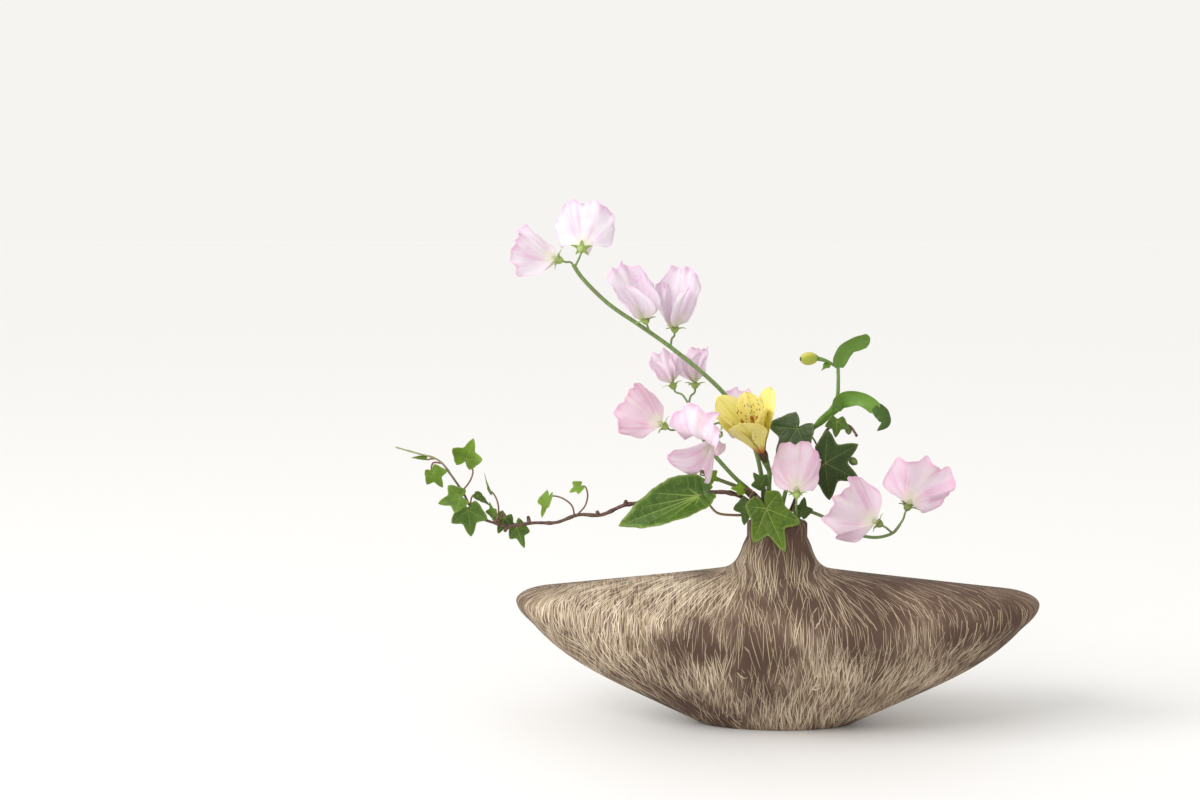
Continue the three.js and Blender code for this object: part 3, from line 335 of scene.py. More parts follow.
class Shade:
    """One material, whose nodes are made and linked by short calls."""

    def __init__(self, name):
        self.material = bpy.data.materials.new(name)
        self.material.use_nodes = True
        self.tree = self.material.node_tree
        self.tree.nodes.clear()

    def node(self, kind, inputs=None, **settings):
        node = self.tree.nodes.new(kind)
        for key, value in settings.items():
            setattr(node, key, value)
        for key, value in (inputs or {}).items():
            self.feed(node.inputs[key], value)
        return node

    def feed(self, socket, value):
        if isinstance(value, Field):
            self.tree.links.new(value.socket, socket)
        elif socket.type == "RGBA" and len(value) == 3:
            socket.default_value = (*value, 1)
        else:
            socket.default_value = value

    def out(self, output, kind, inputs=None, **settings):
        return Field(self, self.node(kind, inputs, **settings).outputs[output])

    def split(self, vector):
        return [Field(self, part) for part in self.node("ShaderNodeSeparateXYZ", {0: vector}).outputs]

    def math(self, operation, a, b=0.0):
        return self.out(0, "ShaderNodeMath", {0: a, 1: b}, operation=operation)

    def blend(self, share, a, b):
        return self.out(2, "ShaderNodeMix", {0: share, 6: a, 7: b}, data_type="RGBA")

    def layers(self, color, *coats):
        """A colour with others laid over it in turn, each by its share."""
        for share, over in coats:
            color = self.blend(share, color, over)
        return color

    def noise(self, vector, scale=1.0, detail=2.0, rough=0.5, warp=0.0):
        inputs = {"Vector": vector, "Scale": scale, "Detail": detail, "Roughness": rough, "Distortion": warp}
        return self.out(0, "ShaderNodeTexNoise", inputs)

    def attribute(self, name):
        return self.split(self.out("Vector", "ShaderNodeAttribute", attribute_name=name))

    def join(self, x, y, z):
        return self.out(0, "ShaderNodeCombineXYZ", {0: x, 1: y, 2: z})

    def place(self):
        return self.out("Object", "ShaderNodeTexCoord")

    def stretch(self, vector, scale, turn=0.0, shift=(0.0, 0.0, 0.0)):
        inputs = {"Vector": vector, "Scale": scale, "Rotation": (0.0, 0.0, turn), "Location": shift}
        return self.out(0, "ShaderNodeMapping", inputs)

    def bump(self, height, distance, strength):
        inputs = {"Height": height, "Distance": distance, "Strength": strength}
        return self.out(0, "ShaderNodeBump", inputs)

    def finish(self, color, roughness, normal, through=0.0, **sockets):
        """Ends in a surface; through is the share of its light that comes from behind it."""
        inputs = {"Base Color": color, "Roughness": roughness, "Normal": normal}
        inputs.update({key.replace("_", " "): value for key, value in sockets.items()})
        surface = self.out(0, "ShaderNodeBsdfPrincipled", inputs)
        if through:
            lit = self.out(0, "ShaderNodeBsdfTranslucent", {"Color": color, "Normal": normal})
            surface = self.out(0, "ShaderNodeMixShader", {0: through, 1: surface, 2: lit})
        self.node("ShaderNodeOutputMaterial", {"Surface": surface})
        return self.material


# ---------------------------------------------------------------- vase
STROKE_LAYERS = 18
STROKE_FIRST_LEAN = -64  # degrees, of the first layer; each next one leans a step further outwards
STROKE_LEAN_STEP = 8
STROKE_APART = 1.4  # millimetres from one stroke of a layer to the next beside it
STROKE_REPEAT = 62  # and to the next one along
STROKE_WANDER = 40  # degrees
STROKE_FAN = 74  # degrees, how far the strokes on the shoulder lean outwards at most
STROKE_GATHER = 50  # degrees, how far those under the edge lean inwards at most
STROKE_END_SHIFT = 15  # millimetres, so that the count round the ends meets that along the sides
NECK_FOOT = 125  # the height where the shoulder turns up into the neck
NECK_STROKES = 34  # millimetres down to the neck's foot, as the strokes count them

# Where the cream slip lies thick or thin: the middle in metres, how far it reaches, and by how much.
# The thick patch on the left shoulder is partly a painted highlight, and the thin one on the right
# shoulder partly painted shade.
SLIP_AND_PAINTED_LIGHT_PATCHES = (
    ((0.038, -0.048, 0.046), 0.030, 0.30),
    ((-0.055, -0.048, 0.044), 0.034, 0.22),
    ((-0.105, -0.030, 0.108), 0.066, 0.95),
    ((-0.160, -0.020, 0.098), 0.050, 0.35),
    ((0.120, -0.045, 0.060), 0.060, 0.12),
    ((0.110, -0.020, 0.106), 0.085, -0.24),
    ((0.010, -0.015, 0.152), 0.046, -0.30),
    ((-0.140, -0.040, 0.060), 0.060, 0.14),
    ((0.000, -0.030, 0.008), 0.040, 0.20),
    ((-0.012, -0.070, 0.072), 0.026, -0.40),
    ((0.190, 0.000, 0.095), 0.060, -0.36),
    ((-0.090, -0.060, 0.075), 0.030, -0.15),
)


def ridge_height(tipness):
    return mix(RIDGE_FRONT_HEIGHT, RIDGE_TIP_HEIGHT, tipness)


def side_rise(u):
    """Share of the height of the lower body at a share u of its flare."""
    return 0.72 * u + 0.28 * u**6


def shoulder_height(q, tipness):
    low = ridge_height(tipness) + SHOULDER_TIP_DROP
    bow = 1 + SHOULDER_FRONT_BOW * (1 - tipness)
    return mix(SHOULDER_TOP, low, q**bow) + NECK_RISE * np.exp(-q / NECK_SPAN)


def vase_form():
    """The vase's rings of points, up the outside and down the inside, and their stroke marks."""
    turn = np.linspace(0, 2 * math.pi, VASE_SIDES, endpoint=False)
    tipness = np.cos(turn) ** 2
    bow = 1 + SHOULDER_FRONT_BOW * (1 - tipness)
    foot = np.array([FOOT_HALF_WIDTH, FOOT_HALF_DEPTH])
    edge = np.array([VASE_HALF_WIDTH, VASE_HALF_DEPTH])
    mouth = np.array([MOUTH_HALF_WIDTH, MOUTH_HALF_DEPTH])
    cavity = np.array([CAVITY_HALF_WIDTH, CAVITY_HALF_DEPTH])
    cavity_floor = np.array([CAVITY_FLOOR_HALF_WIDTH, CAVITY_FLOOR_HALF_DEPTH])
    rings = []

    def ring(reach, height):
        x = reach[0] * np.cos(turn)
        rings.append(np.stack([x, reach[1] * np.sin(turn), height + 0 * x], -1))

    # Up the outside of the lower body, from the rounded edge of the foot to the widest line.
    ring(foot - FOOT_ROUNDING, 0)
    ring(foot - 0.6, 0.35)
    for u in np.concatenate([np.linspace(0.008, 0.86, 44), np.linspace(0.87, 1, 20)]):
        turn_in = max(0.0, (u - ROUNDED_FROM) / (1 - ROUNDED_FROM))
        flare = min(u, ROUNDED_FROM) + (1 - ROUNDED_FROM) * (turn_in + turn_in**2 - turn_in**3)
        ring(mix(foot, edge, flare), ridge_height(tipness) * side_rise(u))
    body_rows = len(rings)

    # Over the shoulder, with finer rows where it sweeps up into the neck, and on to the lip.
    for q in 1 - np.linspace(0.004, 0.9 ** (1 / 1.8), 84) ** 1.8:
        turn_in = max(0.0, (q - ROUNDED_FROM) / (1 - ROUNDED_FROM))
        rounding = (1 - math.sqrt(1 - turn_in**2)) * SHOULDER_TIP_DROP
        ring(mix(mouth + 1, edge, q), shoulder_height(q, tipness) - rounding)
    for q in np.geomspace(0.095, 0.012, 26):
        ring(mix(mouth + 1, edge, q), shoulder_height(q, tipness))
    for drop in np.linspace(12, 2.5, 6):
        ring(mouth, VASE_HEIGHT - drop)
    lip = MOUTH_WALL / 2
    for angle in np.linspace(0, math.pi, 11):
        ring(mouth - lip * (1 - math.cos(angle)), VASE_HEIGHT - lip * (1 - math.sin(angle)))
    outer_rows = len(rings)

    # Down the inside: the throat, the roof of the cavity, and its wall to the floor.
    throat = mouth - MOUTH_WALL
    roof = SHOULDER_TOP - BODY_WALL
    ring(throat, roof + 4)
    for q in (0.04, 0.1, 0.2, 0.4, 0.6, 0.8, 0.93, 1):
        ring(mix(throat, cavity, q), mix(roof, ridge_height(tipness), q**bow))
    for u in (0.9, 0.8, 0.6, 0.4, 0.2, 0):
        rise = (ridge_height(tipness) - FLOOR_THICKNESS) * side_rise(u)
        ring(mix(cavity_floor, cavity, u), FLOOR_THICKNESS + rise)

    rings = np.array(rings)
    return rings, stroke_marks(rings, body_rows, outer_rows)


def stroke_marks(rings, body_rows, outer_rows):
    """Where each point lies round the vase and down its side, and how far its strokes lean outwards.

    The first two are in millimetres and nearly keep their lengths on the surface; the lean is in
    degrees from straight down.
    """
    x, y, z = np.abs(rings[..., 0]), np.abs(rings[..., 1]), rings[..., 2]
    share = np.clip(x / VASE_HALF_WIDTH, 0, 0.9999)
    shoulder_start = MOUTH_HALF_WIDTH + 1
    crest_share = np.clip((x - shoulder_start) / (VASE_HALF_WIDTH - shoulder_start), 0, 1)
    crest = shoulder_height(crest_share, 1.0)
    rim_depth = VASE_HALF_DEPTH * np.sqrt(1 - share**2)
    rim_height = ridge_height(share**2)
    down = np.hypot(y, crest - z)
    rim_down = np.hypot(rim_depth, crest - rim_height)
    below = np.arange(len(rings))[:, None] < body_rows
    down = np.where(below, rim_down + np.hypot(rim_depth - y, rim_height - z), down)
    neckness = np.where(below, 0, smooth(z, NECK_FOOT - 5, NECK_FOOT + 5))
    neckness[outer_rows:] = 1
    round_neck = (MOUTH_HALF_WIDTH + MOUTH_HALF_DEPTH) / 2 * np.arctan2(x, y)
    across = mix(x, round_neck, neckness)
    down = mix(down, NECK_STROKES - (z - NECK_FOOT), neckness)

    fan = STROKE_FAN * smooth(x, 8, 62) * (1 - 0.36 * smooth(x, 100, 190))
    fan = fan * (1 - np.clip(down / rim_down, 0, 1)) ** 0.8
    half_width = np.maximum(x.max(axis=1, keepdims=True), 1)
    half_depth = np.maximum(y.max(axis=1, keepdims=True), 1)
    gather = -STROKE_GATHER * (x / half_width) ** 1.4 * smooth(down - rim_down, 0, 26)
    lean = np.where(below, gather, fan * (1 - neckness))

    # Both ends are narrow: strokes run straight over the edge there, side by side round the end.
    turn = np.arctan2(y / half_depth, x / half_width)
    end = (1 - smooth(turn, 0.15, 0.55)) * smooth(x, 150, 190)
    edge_x, edge_y = VASE_HALF_WIDTH * np.cos(turn), VASE_HALF_DEPTH * np.sin(turn)
    edge_z = ridge_height(np.cos(turn) ** 2)
    edge_down = np.hypot(edge_y, SHOULDER_TIP_DROP)
    past_edge = np.sqrt((edge_x - x) ** 2 + (edge_y - y) ** 2 + (edge_z - z) ** 2)
    round_end = VASE_HALF_WIDTH + STROKE_END_SHIFT - np.hypot(half_width - x, y)
    across = mix(across, round_end, end)
    down = mix(down, edge_down + np.where(below, past_edge, -past_edge), end)
    return np.stack([across, down, lean * (1 - end)], -1)


def clay_material():
    """Matte brown clay under fine combed strokes of cream slip."""
    shade = Shade("clay")
    across, down, lean = shade.attribute("marks")
    place = shade.place()
    x, y, z = shade.split(place)
    # The marks are the same on all four quarters, so each quarter has strokes of its own.
    flow = shade.join(across + x.above(0.0) * 411, down + y.above(0.0) * 733, 0.0)
    patch = shade.noise(place, 17)
    wander = shade.noise(place, 34, 1) - 0.5
    lean = lean + wander * z.step(0.140, 0.110) * STROKE_WANDER
    # Slip patches, partly painted light: thicker slip lightens the left shoulder, thinner slip shades the
    # right.
    slip_and_painted_light = patch
    for centre, radius, strength in SLIP_AND_PAINTED_LIGHT_PATCHES:
        far = shade.out("Value", "ShaderNodeVectorMath", {0: place, 1: centre}, operation="DISTANCE")
        slip_and_painted_light = slip_and_painted_light + far.step(radius, 0) * strength
    covered = slip_and_painted_light.step(0.18, 0.72) * 0.62 + 0.36

    # A stroke lies in each cell of a stretched mosaic; every layer leans its own way and shows
    # only where the strokes lean about as much. Three numbers drawn for the cell say whether the
    # stroke is there, how wide it is and how thick its slip.
    strokes = 0.0
    for k in range(STROKE_LAYERS):
        layer_lean = STROKE_FIRST_LEAN + STROKE_LEAN_STEP * k
        turned = shade.stretch(flow, (1, 1, 1), math.radians(layer_lean))
        cell = shade.stretch(turned, (1 / STROKE_APART, 1 / STROKE_REPEAT, 1), 0, (3.7 * k, 1.9 * k, 0))
        mosaic = shade.node("ShaderNodeTexVoronoi", {"Vector": cell, "Scale": 1}, voronoi_dimensions="2D")
        chance, breadth, thickness = shade.split(Field(shade, mosaic.outputs["Color"]))
        wanted = covered * abs(lean - layer_lean).step(25, 9)
        drawn = (wanted - chance).step(0, 0.06)
        line = (breadth * 0.16 + 0.13 - Field(shade, mosaic.outputs["Distance"])).step(0, 0.06)
        strokes = shade.math("MAXIMUM", strokes, line * drawn * (thickness * 0.62 + 0.38))

    smear = shade.noise(shade.stretch(flow, (0.7, 0.06, 1)), 1, 2, 0.6)
    smear = smear.step(0.36, 0.66) * slip_and_painted_light.step(0.42, 0.86)
    grain = shade.noise(place, 900, 3, 0.7)
    color = shade.layers(
        shade.blend(patch.step(0.3, 0.7), (0.078, 0.043, 0.030), (0.125, 0.074, 0.051)),
        (smear * 0.78, (0.52, 0.40, 0.26)),
        (grain.step(0.55, 0.75) * 0.35, (0.04, 0.024, 0.018)),
        (strokes, shade.blend(slip_and_painted_light.step(0.25, 1.05), (0.42, 0.33, 0.215), (0.84, 0.72, 0.55))),
    )
    normal = shade.bump(strokes * 0.8 + grain * 0.3, 0.0004, 0.6)
    return shade.finish(color, grain * 0.2 + 0.7, normal, Specular_IOR_Level=0.3)


def build_vase():
    rings, marks = vase_form()
    form = Form()
    form.loft(rings, (0, 0, 0), (0, 0, FLOOR_THICKNESS), marks)
    add_piece("vase_body", form, clay_material(), "vase")


# ---------------------------------------------------------------- sweet pea
# Millimetres at size 1, but for the banner's spread and notch and the keel's flatness. Ahead, above
# and out are the place against the calyx.
BANNER_HEIGHT = 38
BANNER_SPREAD = math.radians(68)
BANNER_CLAW = 6.5
BANNER_BEND = 9
BANNER_NOTCH = 0.12
BANNER_AHEAD = 4.9
BANNER_ABOVE = 0.9
WING_LENGTH = 27
WING_HEIGHT = 16
WING_AHEAD = 5.2
WING_ABOVE = -1.2
WING_OUT = 1.2
WING_RISE = 8
CLAW_RADIUS = 1.55
KEEL_FLATNESS = 0.45
KEEL_DROP = 1.6

# Heights along the calyx, and the radius at each.
CALYX = [[-0.6, 0.9], [0.6, 2.2], [2.2, 3.0], [3.6, 3.15], [4.3, 3.0], [4.2, 2.5], [3.4, 2.2]]
SEPAL_COUNT = 5


@dataclass
class Bloom:
    """A sweet pea bloom: the points that its stalk passes, its place and way, and its petals.

    The banner is bent up by open degrees; wide, fold, ruffle and pinch shape it too. Spread, broad
    and long shape the wings, and hang gives each wing its own spread and the degrees it droops.
    Rose runs from lilac-white to pink.
    """

    stalk: list
    calyx: tuple
    forward: tuple
    up: tuple
    size: float
    open: float
    rose: float
    phase: float
    fold: float = 0.7
    ruffle: float = 2.4
    wide: float = 1
    pinch: float = 0
    spread: float = 0.15
    broad: float = 1
    long: float = 1
    hang: dict = None

    def frame(self):
        return organ_frame(self.calyx, self.forward, self.up)


BLOOMS = {
    "a1": Bloom([(-154, -12, 351.5), (-157, -12, 355)], (-163, -13, 356), (-0.95, 0.1, 0.3),
                (0.2, -0.8, 0.6), 0.95, 30, 0.25, 0.5, fold=0.8, spread=0.2),
    "a2": Bloom([(-154, -12, 351.5), (-151, -17, 357)], (-149, -15, 363), (0.1, 0.75, 0.7),
                (0, -0.6, 0.8), 1.0, 45, 0.1, 2, fold=0.45, ruffle=2.6, wide=1.1, spread=0.25),
    "a3": Bloom([(-95, -6.3, 300.5), (-98, -9, 303.5)], (-100, -11.5, 309), (-0.30, -0.3, 0.9),
                (-0.6, 0.6, 0.1), 1.21, 20, 0.2, 1, pinch=0.36),
    "a4": Bloom([(-82, -5, 291), (-81, -1, 297)], (-79, 2, 301.5), (0.06, -0.2, 0.97),
                (0.3, 0.9, 0), 1.23, 18, 0.22, 3, pinch=0.36),
    "b1": Bloom([(-68, 1, 247), (-73, 4, 254)], (-79, 8, 258), (-0.35, 0.1, 0.95),
                (-0.3, 0.9, 0.1), 0.72, 20, 0.45, 1.5, ruffle=2.2, pinch=0.2),
    "b2": Bloom([(-68, 1, 247), (-66.5, 9, 252)], (-63, 21, 257), (-0.02, 0.3, 0.95),
                (0.5, 0.8, 0), 0.8, 20, 0.4, 0.2, ruffle=2.2, pinch=0.2),
    "b3": Bloom([(-60, -7, 227), (-68, -6, 228), (-75, -10, 229)], (-84, -14, 230.5), (-0.85, 0.15, 0.5),
                (0.1, -0.9, 0.4), 1.0, 30, 0.85, 2.4, fold=0.8, ruffle=1.6),
    "b4": Bloom([(-55, -8.5, 218), (-48, -10, 221), (-43.5, -19, 226)], (-46, -28, 228.5),
                (-0.70, -0.64, -0.32), (0, -0.3, 0.95), 1.1, 120, 0.5, 0, fold=0.25, ruffle=3.8,
                broad=1.4, long=1.12, hang={1: (0.42, 20), -1: (0.3, 35)}),
    "b5": Bloom([(-59, -7.5, 225), (-54, -1, 229)], (-44, 10, 232), (0.75, 0.6, 0.1),
                (-0.1, 0, 1), 0.9, 75, 0.35, 1.2, fold=0.3, spread=0.25),
    "c1": Bloom([(86, -10, 151), (83, -15, 154)], (77, -24, 159), (-0.85, 0.12, 0.45),
                (-0.2, -0.9, 0.4), 1.1, 35, 0.6, 2.8, fold=0.5, ruffle=4.0, wide=1.15, spread=0.2),
    "c2": Bloom([(90, -11, 155), (94, -13, 162)], (96, -14, 169), (0.4, 0.35, 0.85),
                (0.4, -0.8, 0.4), 1.07, 45, 0.6, 0.9, fold=0.3, ruffle=4.0, wide=1.3, spread=0.25),
    "d1": Bloom([(12, -29, 170.5)], (12, -33, 181), (0.02, 0.4, 0.92),
                (0, -0.92, 0.4), 1.02, 22, 0.75, 0, fold=0.6, ruffle=0.7, wide=1.25, pinch=0.2),
}

# The radius of each stem, how far it tapers, how much painted shade darkens its calyxes, where it
# stands, and the points that it passes.
PEA_STEMS = {
    "a": (PEA_STEM, 0.8, 0, "tall_pea", [
        (-8.5, 4, 168), (-11.5, 2, 188), (-17, 0, 212), (-28, -1, 236), (-40, -2, 254), (-55, -3, 269),
        (-82, -5, 291), (-106, -7, 308), (-129, -9, 324), (-149, -11, 344), (-155, -12, 353)]),
    "b": (PEA_STEM, 0.75, 0, "left_pea", [
        (-14.5, 1.5, 163), (-18, -1, 177), (-34, -6, 193), (-52, -9, 214), (-60, -7, 227),
        (-66, -2, 240), (-68.5, 2, 249)]),
    "c": (SLIM_PEA_STEM, 0.75, 0.6, "right_pea", [
        (14.5, -1, 158), (21, -3, 165.5), (32, -4, 163), (47, -4, 154.5), (63, -6, 148), (76, -8, 147),
        (87, -10, 151), (92, -12, 158)]),
    "d": (FINE_PEA_STEM, 0.8, 0, "front_pea", [
        (9, -11, 158.5), (11.5, -17.5, 163), (12.5, -24, 166), (12, -29.5, 171.5)]),
}


def bent_line(length, straight, radius, angle):
    """A line that runs forward, then turns upwards through an angle on a bend."""
    turned = np.clip((length - straight) / radius, 0, angle)
    rest = np.maximum(0, length - straight - radius * angle)
    ahead = np.minimum(length, straight) + radius * np.sin(turned) + rest * math.cos(angle)
    above = radius * (1 - np.cos(turned)) + rest * math.sin(angle)
    return ahead, above, turned


def banner(place, bloom):
    """The broad upper petal: a notched fan, bent up, folded about its midrib and ruffled."""
    size, phase, ruffle = bloom.size, bloom.phase, bloom.ruffle * bloom.size
    height = BANNER_HEIGHT * size

    def surface(s, v):
        angle = s * BANNER_SPREAD * bloom.wide
        notch = BANNER_NOTCH * np.exp(-((s / 0.16) ** 2))
        scallop = 0.026 * np.sin(15 * s + 3 * phase) + 0.016 * np.sin(33 * s + phase)
        corner = 1 - 0.24 * np.abs(s) ** 9
        reach = height * (0.5 + 0.55 * np.cos(angle) - notch + scallop) * corner
        rho = reach * mix(0.075, 1, v)
        side = rho * np.sin(angle) * (1 - bloom.pinch * v)
        ahead, above, turned = bent_line(rho * np.cos(angle), BANNER_CLAW, BANNER_BEND * size,
                                         math.radians(bloom.open))
        wave = ruffle * v**1.8 * (0.85 * np.sin(7.5 * s + phase) + 0.35 * np.sin(12.7 * s - 2 * phase))
        frill = 0.75 * ruffle * v**5 * np.sin(17 * s + 2 * phase + 2.5 * v)
        frill = frill + 0.25 * ruffle * v**8 * np.sin(37 * s + phase)
        pleat = size * v * (0.9 * np.sin(11 * s + 2 * phase) * (1 - 0.5 * v) + 0.10 * np.sin(46 * s + phase))
        groove = -0.7 * size * np.exp(-((s / 0.05) ** 2)) * v
        lift = bloom.fold * side * side / height + wave + frill + pleat + groove
        return place(
            side * (1 - 0.22 * bloom.fold * v),
            BANNER_AHEAD + ahead + lift * np.sin(turned),
            BANNER_ABOVE + above - lift * np.cos(turned),
        )

    return surface


def wing(place, side, bloom):
    """One of the two side petals, hung from the claw under the banner and cupped round the keel."""
    size, phase = bloom.size, bloom.phase
    spread, droop = bloom.hang[side] if bloom.hang else (bloom.spread, 0)
    droop = math.radians(droop)
    length = WING_LENGTH * size * bloom.long
    clear_rise = WING_RISE * math.sin(math.radians(bloom.open))

    def surface(s, v):
        v = np.clip(v, 0, 1)
        top = WING_ABOVE + size * clear_rise * v * v
        depth = size * WING_HEIGHT * bloom.broad * np.sin(math.pi * mix(0.02, 0.86, v**0.85))
        bottom = WING_ABOVE - CLAW_RADIUS * 0.4 - depth + 0.5 * size * clear_rise * v * v
        out = WING_OUT + spread * length * v**1.2 + 0.12 * length * v * (1 - s * s)
        wave = 0.9 * size * v * v * np.sin(4 * s + phase)
        frill = 0.35 * size * v**3 * np.sin(13 * s + 9 * v + phase) * np.abs(s) ** 0.5
        ahead = WING_AHEAD + length * v * (1 - 0.12 * s * s + 0.01 * np.sin(15 * s + phase))
        above = mix(bottom, top, (s + 1) / 2)
        low = (ahead - WING_AHEAD) * math.sin(droop)
        near = WING_AHEAD + (ahead - WING_AHEAD) * math.cos(droop)
        return place(side * (out + wave + frill), near, above * math.cos(droop) - low)

    return surface


def add_bloom(name, bloom, material):
    place = bloom.frame()

    def keel_place(x, y, z):
        return place(x * KEEL_FLATNESS, y, z - KEEL_DROP)

    claw = [[2.7, CLAW_RADIUS * 0.6], [6.2, CLAW_RADIUS * 1.25], [9, CLAW_RADIUS * 0.8]]
    keel = [[6, 0.8], [9 + 2 * bloom.size, 2.4], [8 + 9 * bloom.size, 1.2]]
    form = Form()
    form.spindle(place, claw, kinds=(CLAW, bloom.rose, 0))
    form.spindle(keel_place, keel, kinds=(KEEL, bloom.rose, 0))
    form.blade(banner(place, bloom), 96, 40, PETAL, kinds=(BANNER, bloom.rose, 0))
    for side in (1, -1):
        form.blade(wing(place, side, bloom), 32, 32, PETAL, kinds=(WING, bloom.rose, 0))
    add_piece(f"bloom_{name}", form, material, f"sweet_pea_bloom_{name}")


def petal_material():
    """Thin pale petals: creamy at the base, lilac-pink at the frilled rim and in streaks, partly painted
    fold shade.
    """
    shade = Shade("sweet_pea_petal")
    s, v, back = shade.attribute("marks")
    organ, rose, _ = shade.attribute("kinds")
    veins = shade.noise(shade.join(s * 26, v * 1.6, organ), 1, 3, 0.6, 0.4)
    clouds = shade.noise(shade.place(), 70)
    # Deeper pink streaks along the petal: partly its own colour, partly painted shade in the fold valleys.
    fold_streaks_and_shade = shade.noise(shade.join(s * 5.5, v * 0.7, rose))
    tint = v.step(0.86, 1) * 0.55 + clouds.step(0.45, 0.75) * 0.35
    tint = tint + fold_streaks_and_shade.step(0.50, 0.68) * 0.50 + veins.step(0.5, 0.74) * 0.30
    pale = shade.blend(rose, (0.93, 0.91, 0.94), (0.93, 0.75, 0.84))
    deep = shade.blend(rose, (0.88, 0.66, 0.84), (0.86, 0.48, 0.67))
    rib = abs(s).step(0.05, 0.01) * (1 - organ.above(BANNER))
    color = shade.layers(
        shade.blend(tint, pale, deep),
        (v.step(0.36, 0.02) * 0.7, (0.86, 0.86, 0.66)),
        (organ.above(KEEL) * 0.85, (0.62, 0.66, 0.34)),
        (rib * 0.4, (0.88, 0.90, 0.78)),
        (back * 0.18, (0.84, 0.76, 0.86)),
    )
    normal = shade.bump(veins + clouds * 0.6, 0.0005, 0.55)
    return shade.finish(color, 0.5, normal, 0.38, Specular_IOR_Level=0.3, Sheen_Weight=0.15)


def add_calyx(form, bloom, dark):
    """A cup that holds a bloom's claw, with narrow sepals that curl out of its rim."""
    place = bloom.frame()
    form.spindle(place, CALYX, sides=20, lobes=SEPAL_COUNT, lobe_depth=0.05, kinds=(CUP, dark, 0))
    for k in range(SEPAL_COUNT):
        turn = 2 * math.pi * k / SEPAL_COUNT

        def sepal(s, v, turn=turn):
            half = 1.95 * (1 - v) ** 0.7 + 0.08
            reach = 2.7 + 6.0 * v**1.15
            height = 3.4 + 3.6 * v - 3.2 * v * v - 0.25 * half * s * s
            around = half * s + 0.5 * v * math.sin(3 * turn + 1)
            return place(reach * np.sin(turn) + around * np.cos(turn), height,
                         reach * np.cos(turn) - around * np.sin(turn))

        form.blade(sepal, 6, 12, SEPAL, kinds=(CUP, dark, 0))


def pedicel_points(bloom):
    place = bloom.frame()
    return [*bloom.stalk, place(0, -2.5, 0), place(0, 0, 0)]


def standing(slot, points):
    """A stem that stands in the vase: straight up from its cut end, then along its own points."""
    x, y = SLOT[slot]
    return [(x, y, STEM_FOOT), (x, y, 60), (x, y, 106), (x, y, STANDING_TOP), *points]


def build_peas(green, petal):
    for letter, (radius, taper, dark, slot, points) in PEA_STEMS.items():
        form = Form()
        form.tube(standing(slot, points), radius, radius * taper)
        for name, bloom in BLOOMS.items():
            if name.startswith(letter):
                form.tube(pedicel_points(bloom), PEDICEL + 0.1, PEDICEL, 10, kinds=(STALK, 0, 0))
                add_calyx(form, bloom, dark)
        add_piece(f"pea_stem_{letter}", form, green, f"sweet_pea_stem_{letter}")
    for name, bloom in BLOOMS.items():
        add_bloom(name, bloom, petal)


def stem_material(name, body, light, flush, organ_color, shaded):
    """A green stem, streaked along its length and flushed in places; other organs in their own colour or
    painted shade.
    """
    shade = Shade(name)
    length, share, _ = shade.attribute("marks")
    organ, dark, _ = shade.attribute("kinds")
    stem_fibres = shade.noise(shade.stretch(shade.place(), (1400, 1400, 90)), 1, 3, 0.6)
    leaf_fibres = shade.noise(shade.join(length * 8, share * 1.5, organ), 1, 2, 0.6)
    fibres = shade.out(0, "ShaderNodeMix", {0: organ.above(CUP), 2: stem_fibres, 3: leaf_fibres})
    clouds = shade.noise(shade.join(length * 0.05, organ, dark))
    brighter = tuple(1.25 * c for c in organ_color)
    organs = shade.blend(fibres.step(0.3, 0.7), organ_color, brighter)
    # Dark mixes the calyxes and strap leaves towards shaded, which is painted shade.
    color = shade.layers(
        shade.blend(fibres.step(0.35, 0.7), body, light),
        (clouds.step(0.5, 0.72) * 0.6, flush),
        (organ.above(STALK), shade.blend(dark, organs, shaded)),
    )
    return shade.finish(color, 0.45, shade.bump(fibres, 0.0003, 0.6), 0.12, Specular_IOR_Level=0.4)


# ---------------------------------------------------------------- leaves
# The outline of one half of each kind of leaf: degrees from the tip, and the share of the length
# from the base out to the edge. The main veins run at the angles in VEINS.
OUTLINE = {
    "star": [[0, 1], [26, 0.6], [54, 0.97], [82, 0.56], [112, 0.82], [150, 0.5], [180, 0.07]],
    "front": [[0, 1], [26, 0.6], [54, 0.93], [82, 0.54], [112, 0.58], [150, 0.4], [180, 0.07]],
    "ivy": [[0, 1], [30, 0.56], [60, 0.78], [100, 0.5], [140, 0.46], [180, 0.07]],
    "broad": [[0, 1], [18, 0.82], [38, 0.7], [62, 0.6], [92, 0.44], [125, 0.28], [155, 0.2], [180, 0.08]],
    "lance": [[0, 1], [12, 0.62], [40, 0.34], [90, 0.26], [140, 0.22], [180, 0.14]],
}
VEINS = {
    "star": (0, 54, 112),
    "front": (0, 54, 112),
    "ivy": (0, 60, 128),
    "broad": (0, 16, 38, 68),
    "lance": (0, 40),
}
LEAF_PARTS = 8  # steps from one point of the outline to the next
LEAF_RINGS = 14  # from the base to the edge


@dataclass
class Leaf:
    """A leaf: the stem that it grows on, the points that its stalk passes, its base and tip, and its blade.

    Face is the way its upper side looks. Hue runs from blue-green to yellow-green and light from
    dark to bright. Width, cup, fold and curl are shares of the length.
    """

    stem: str
    stalk: list
    base: tuple
    tip: tuple
    face: tuple
    hue: float
    light: float
    kind: str = "ivy"
    width: float = 1
    cup: float = 0.12
    fold: float = 0.1
    curl: float = 0.15
    stalk_radius: float = PETIOLE


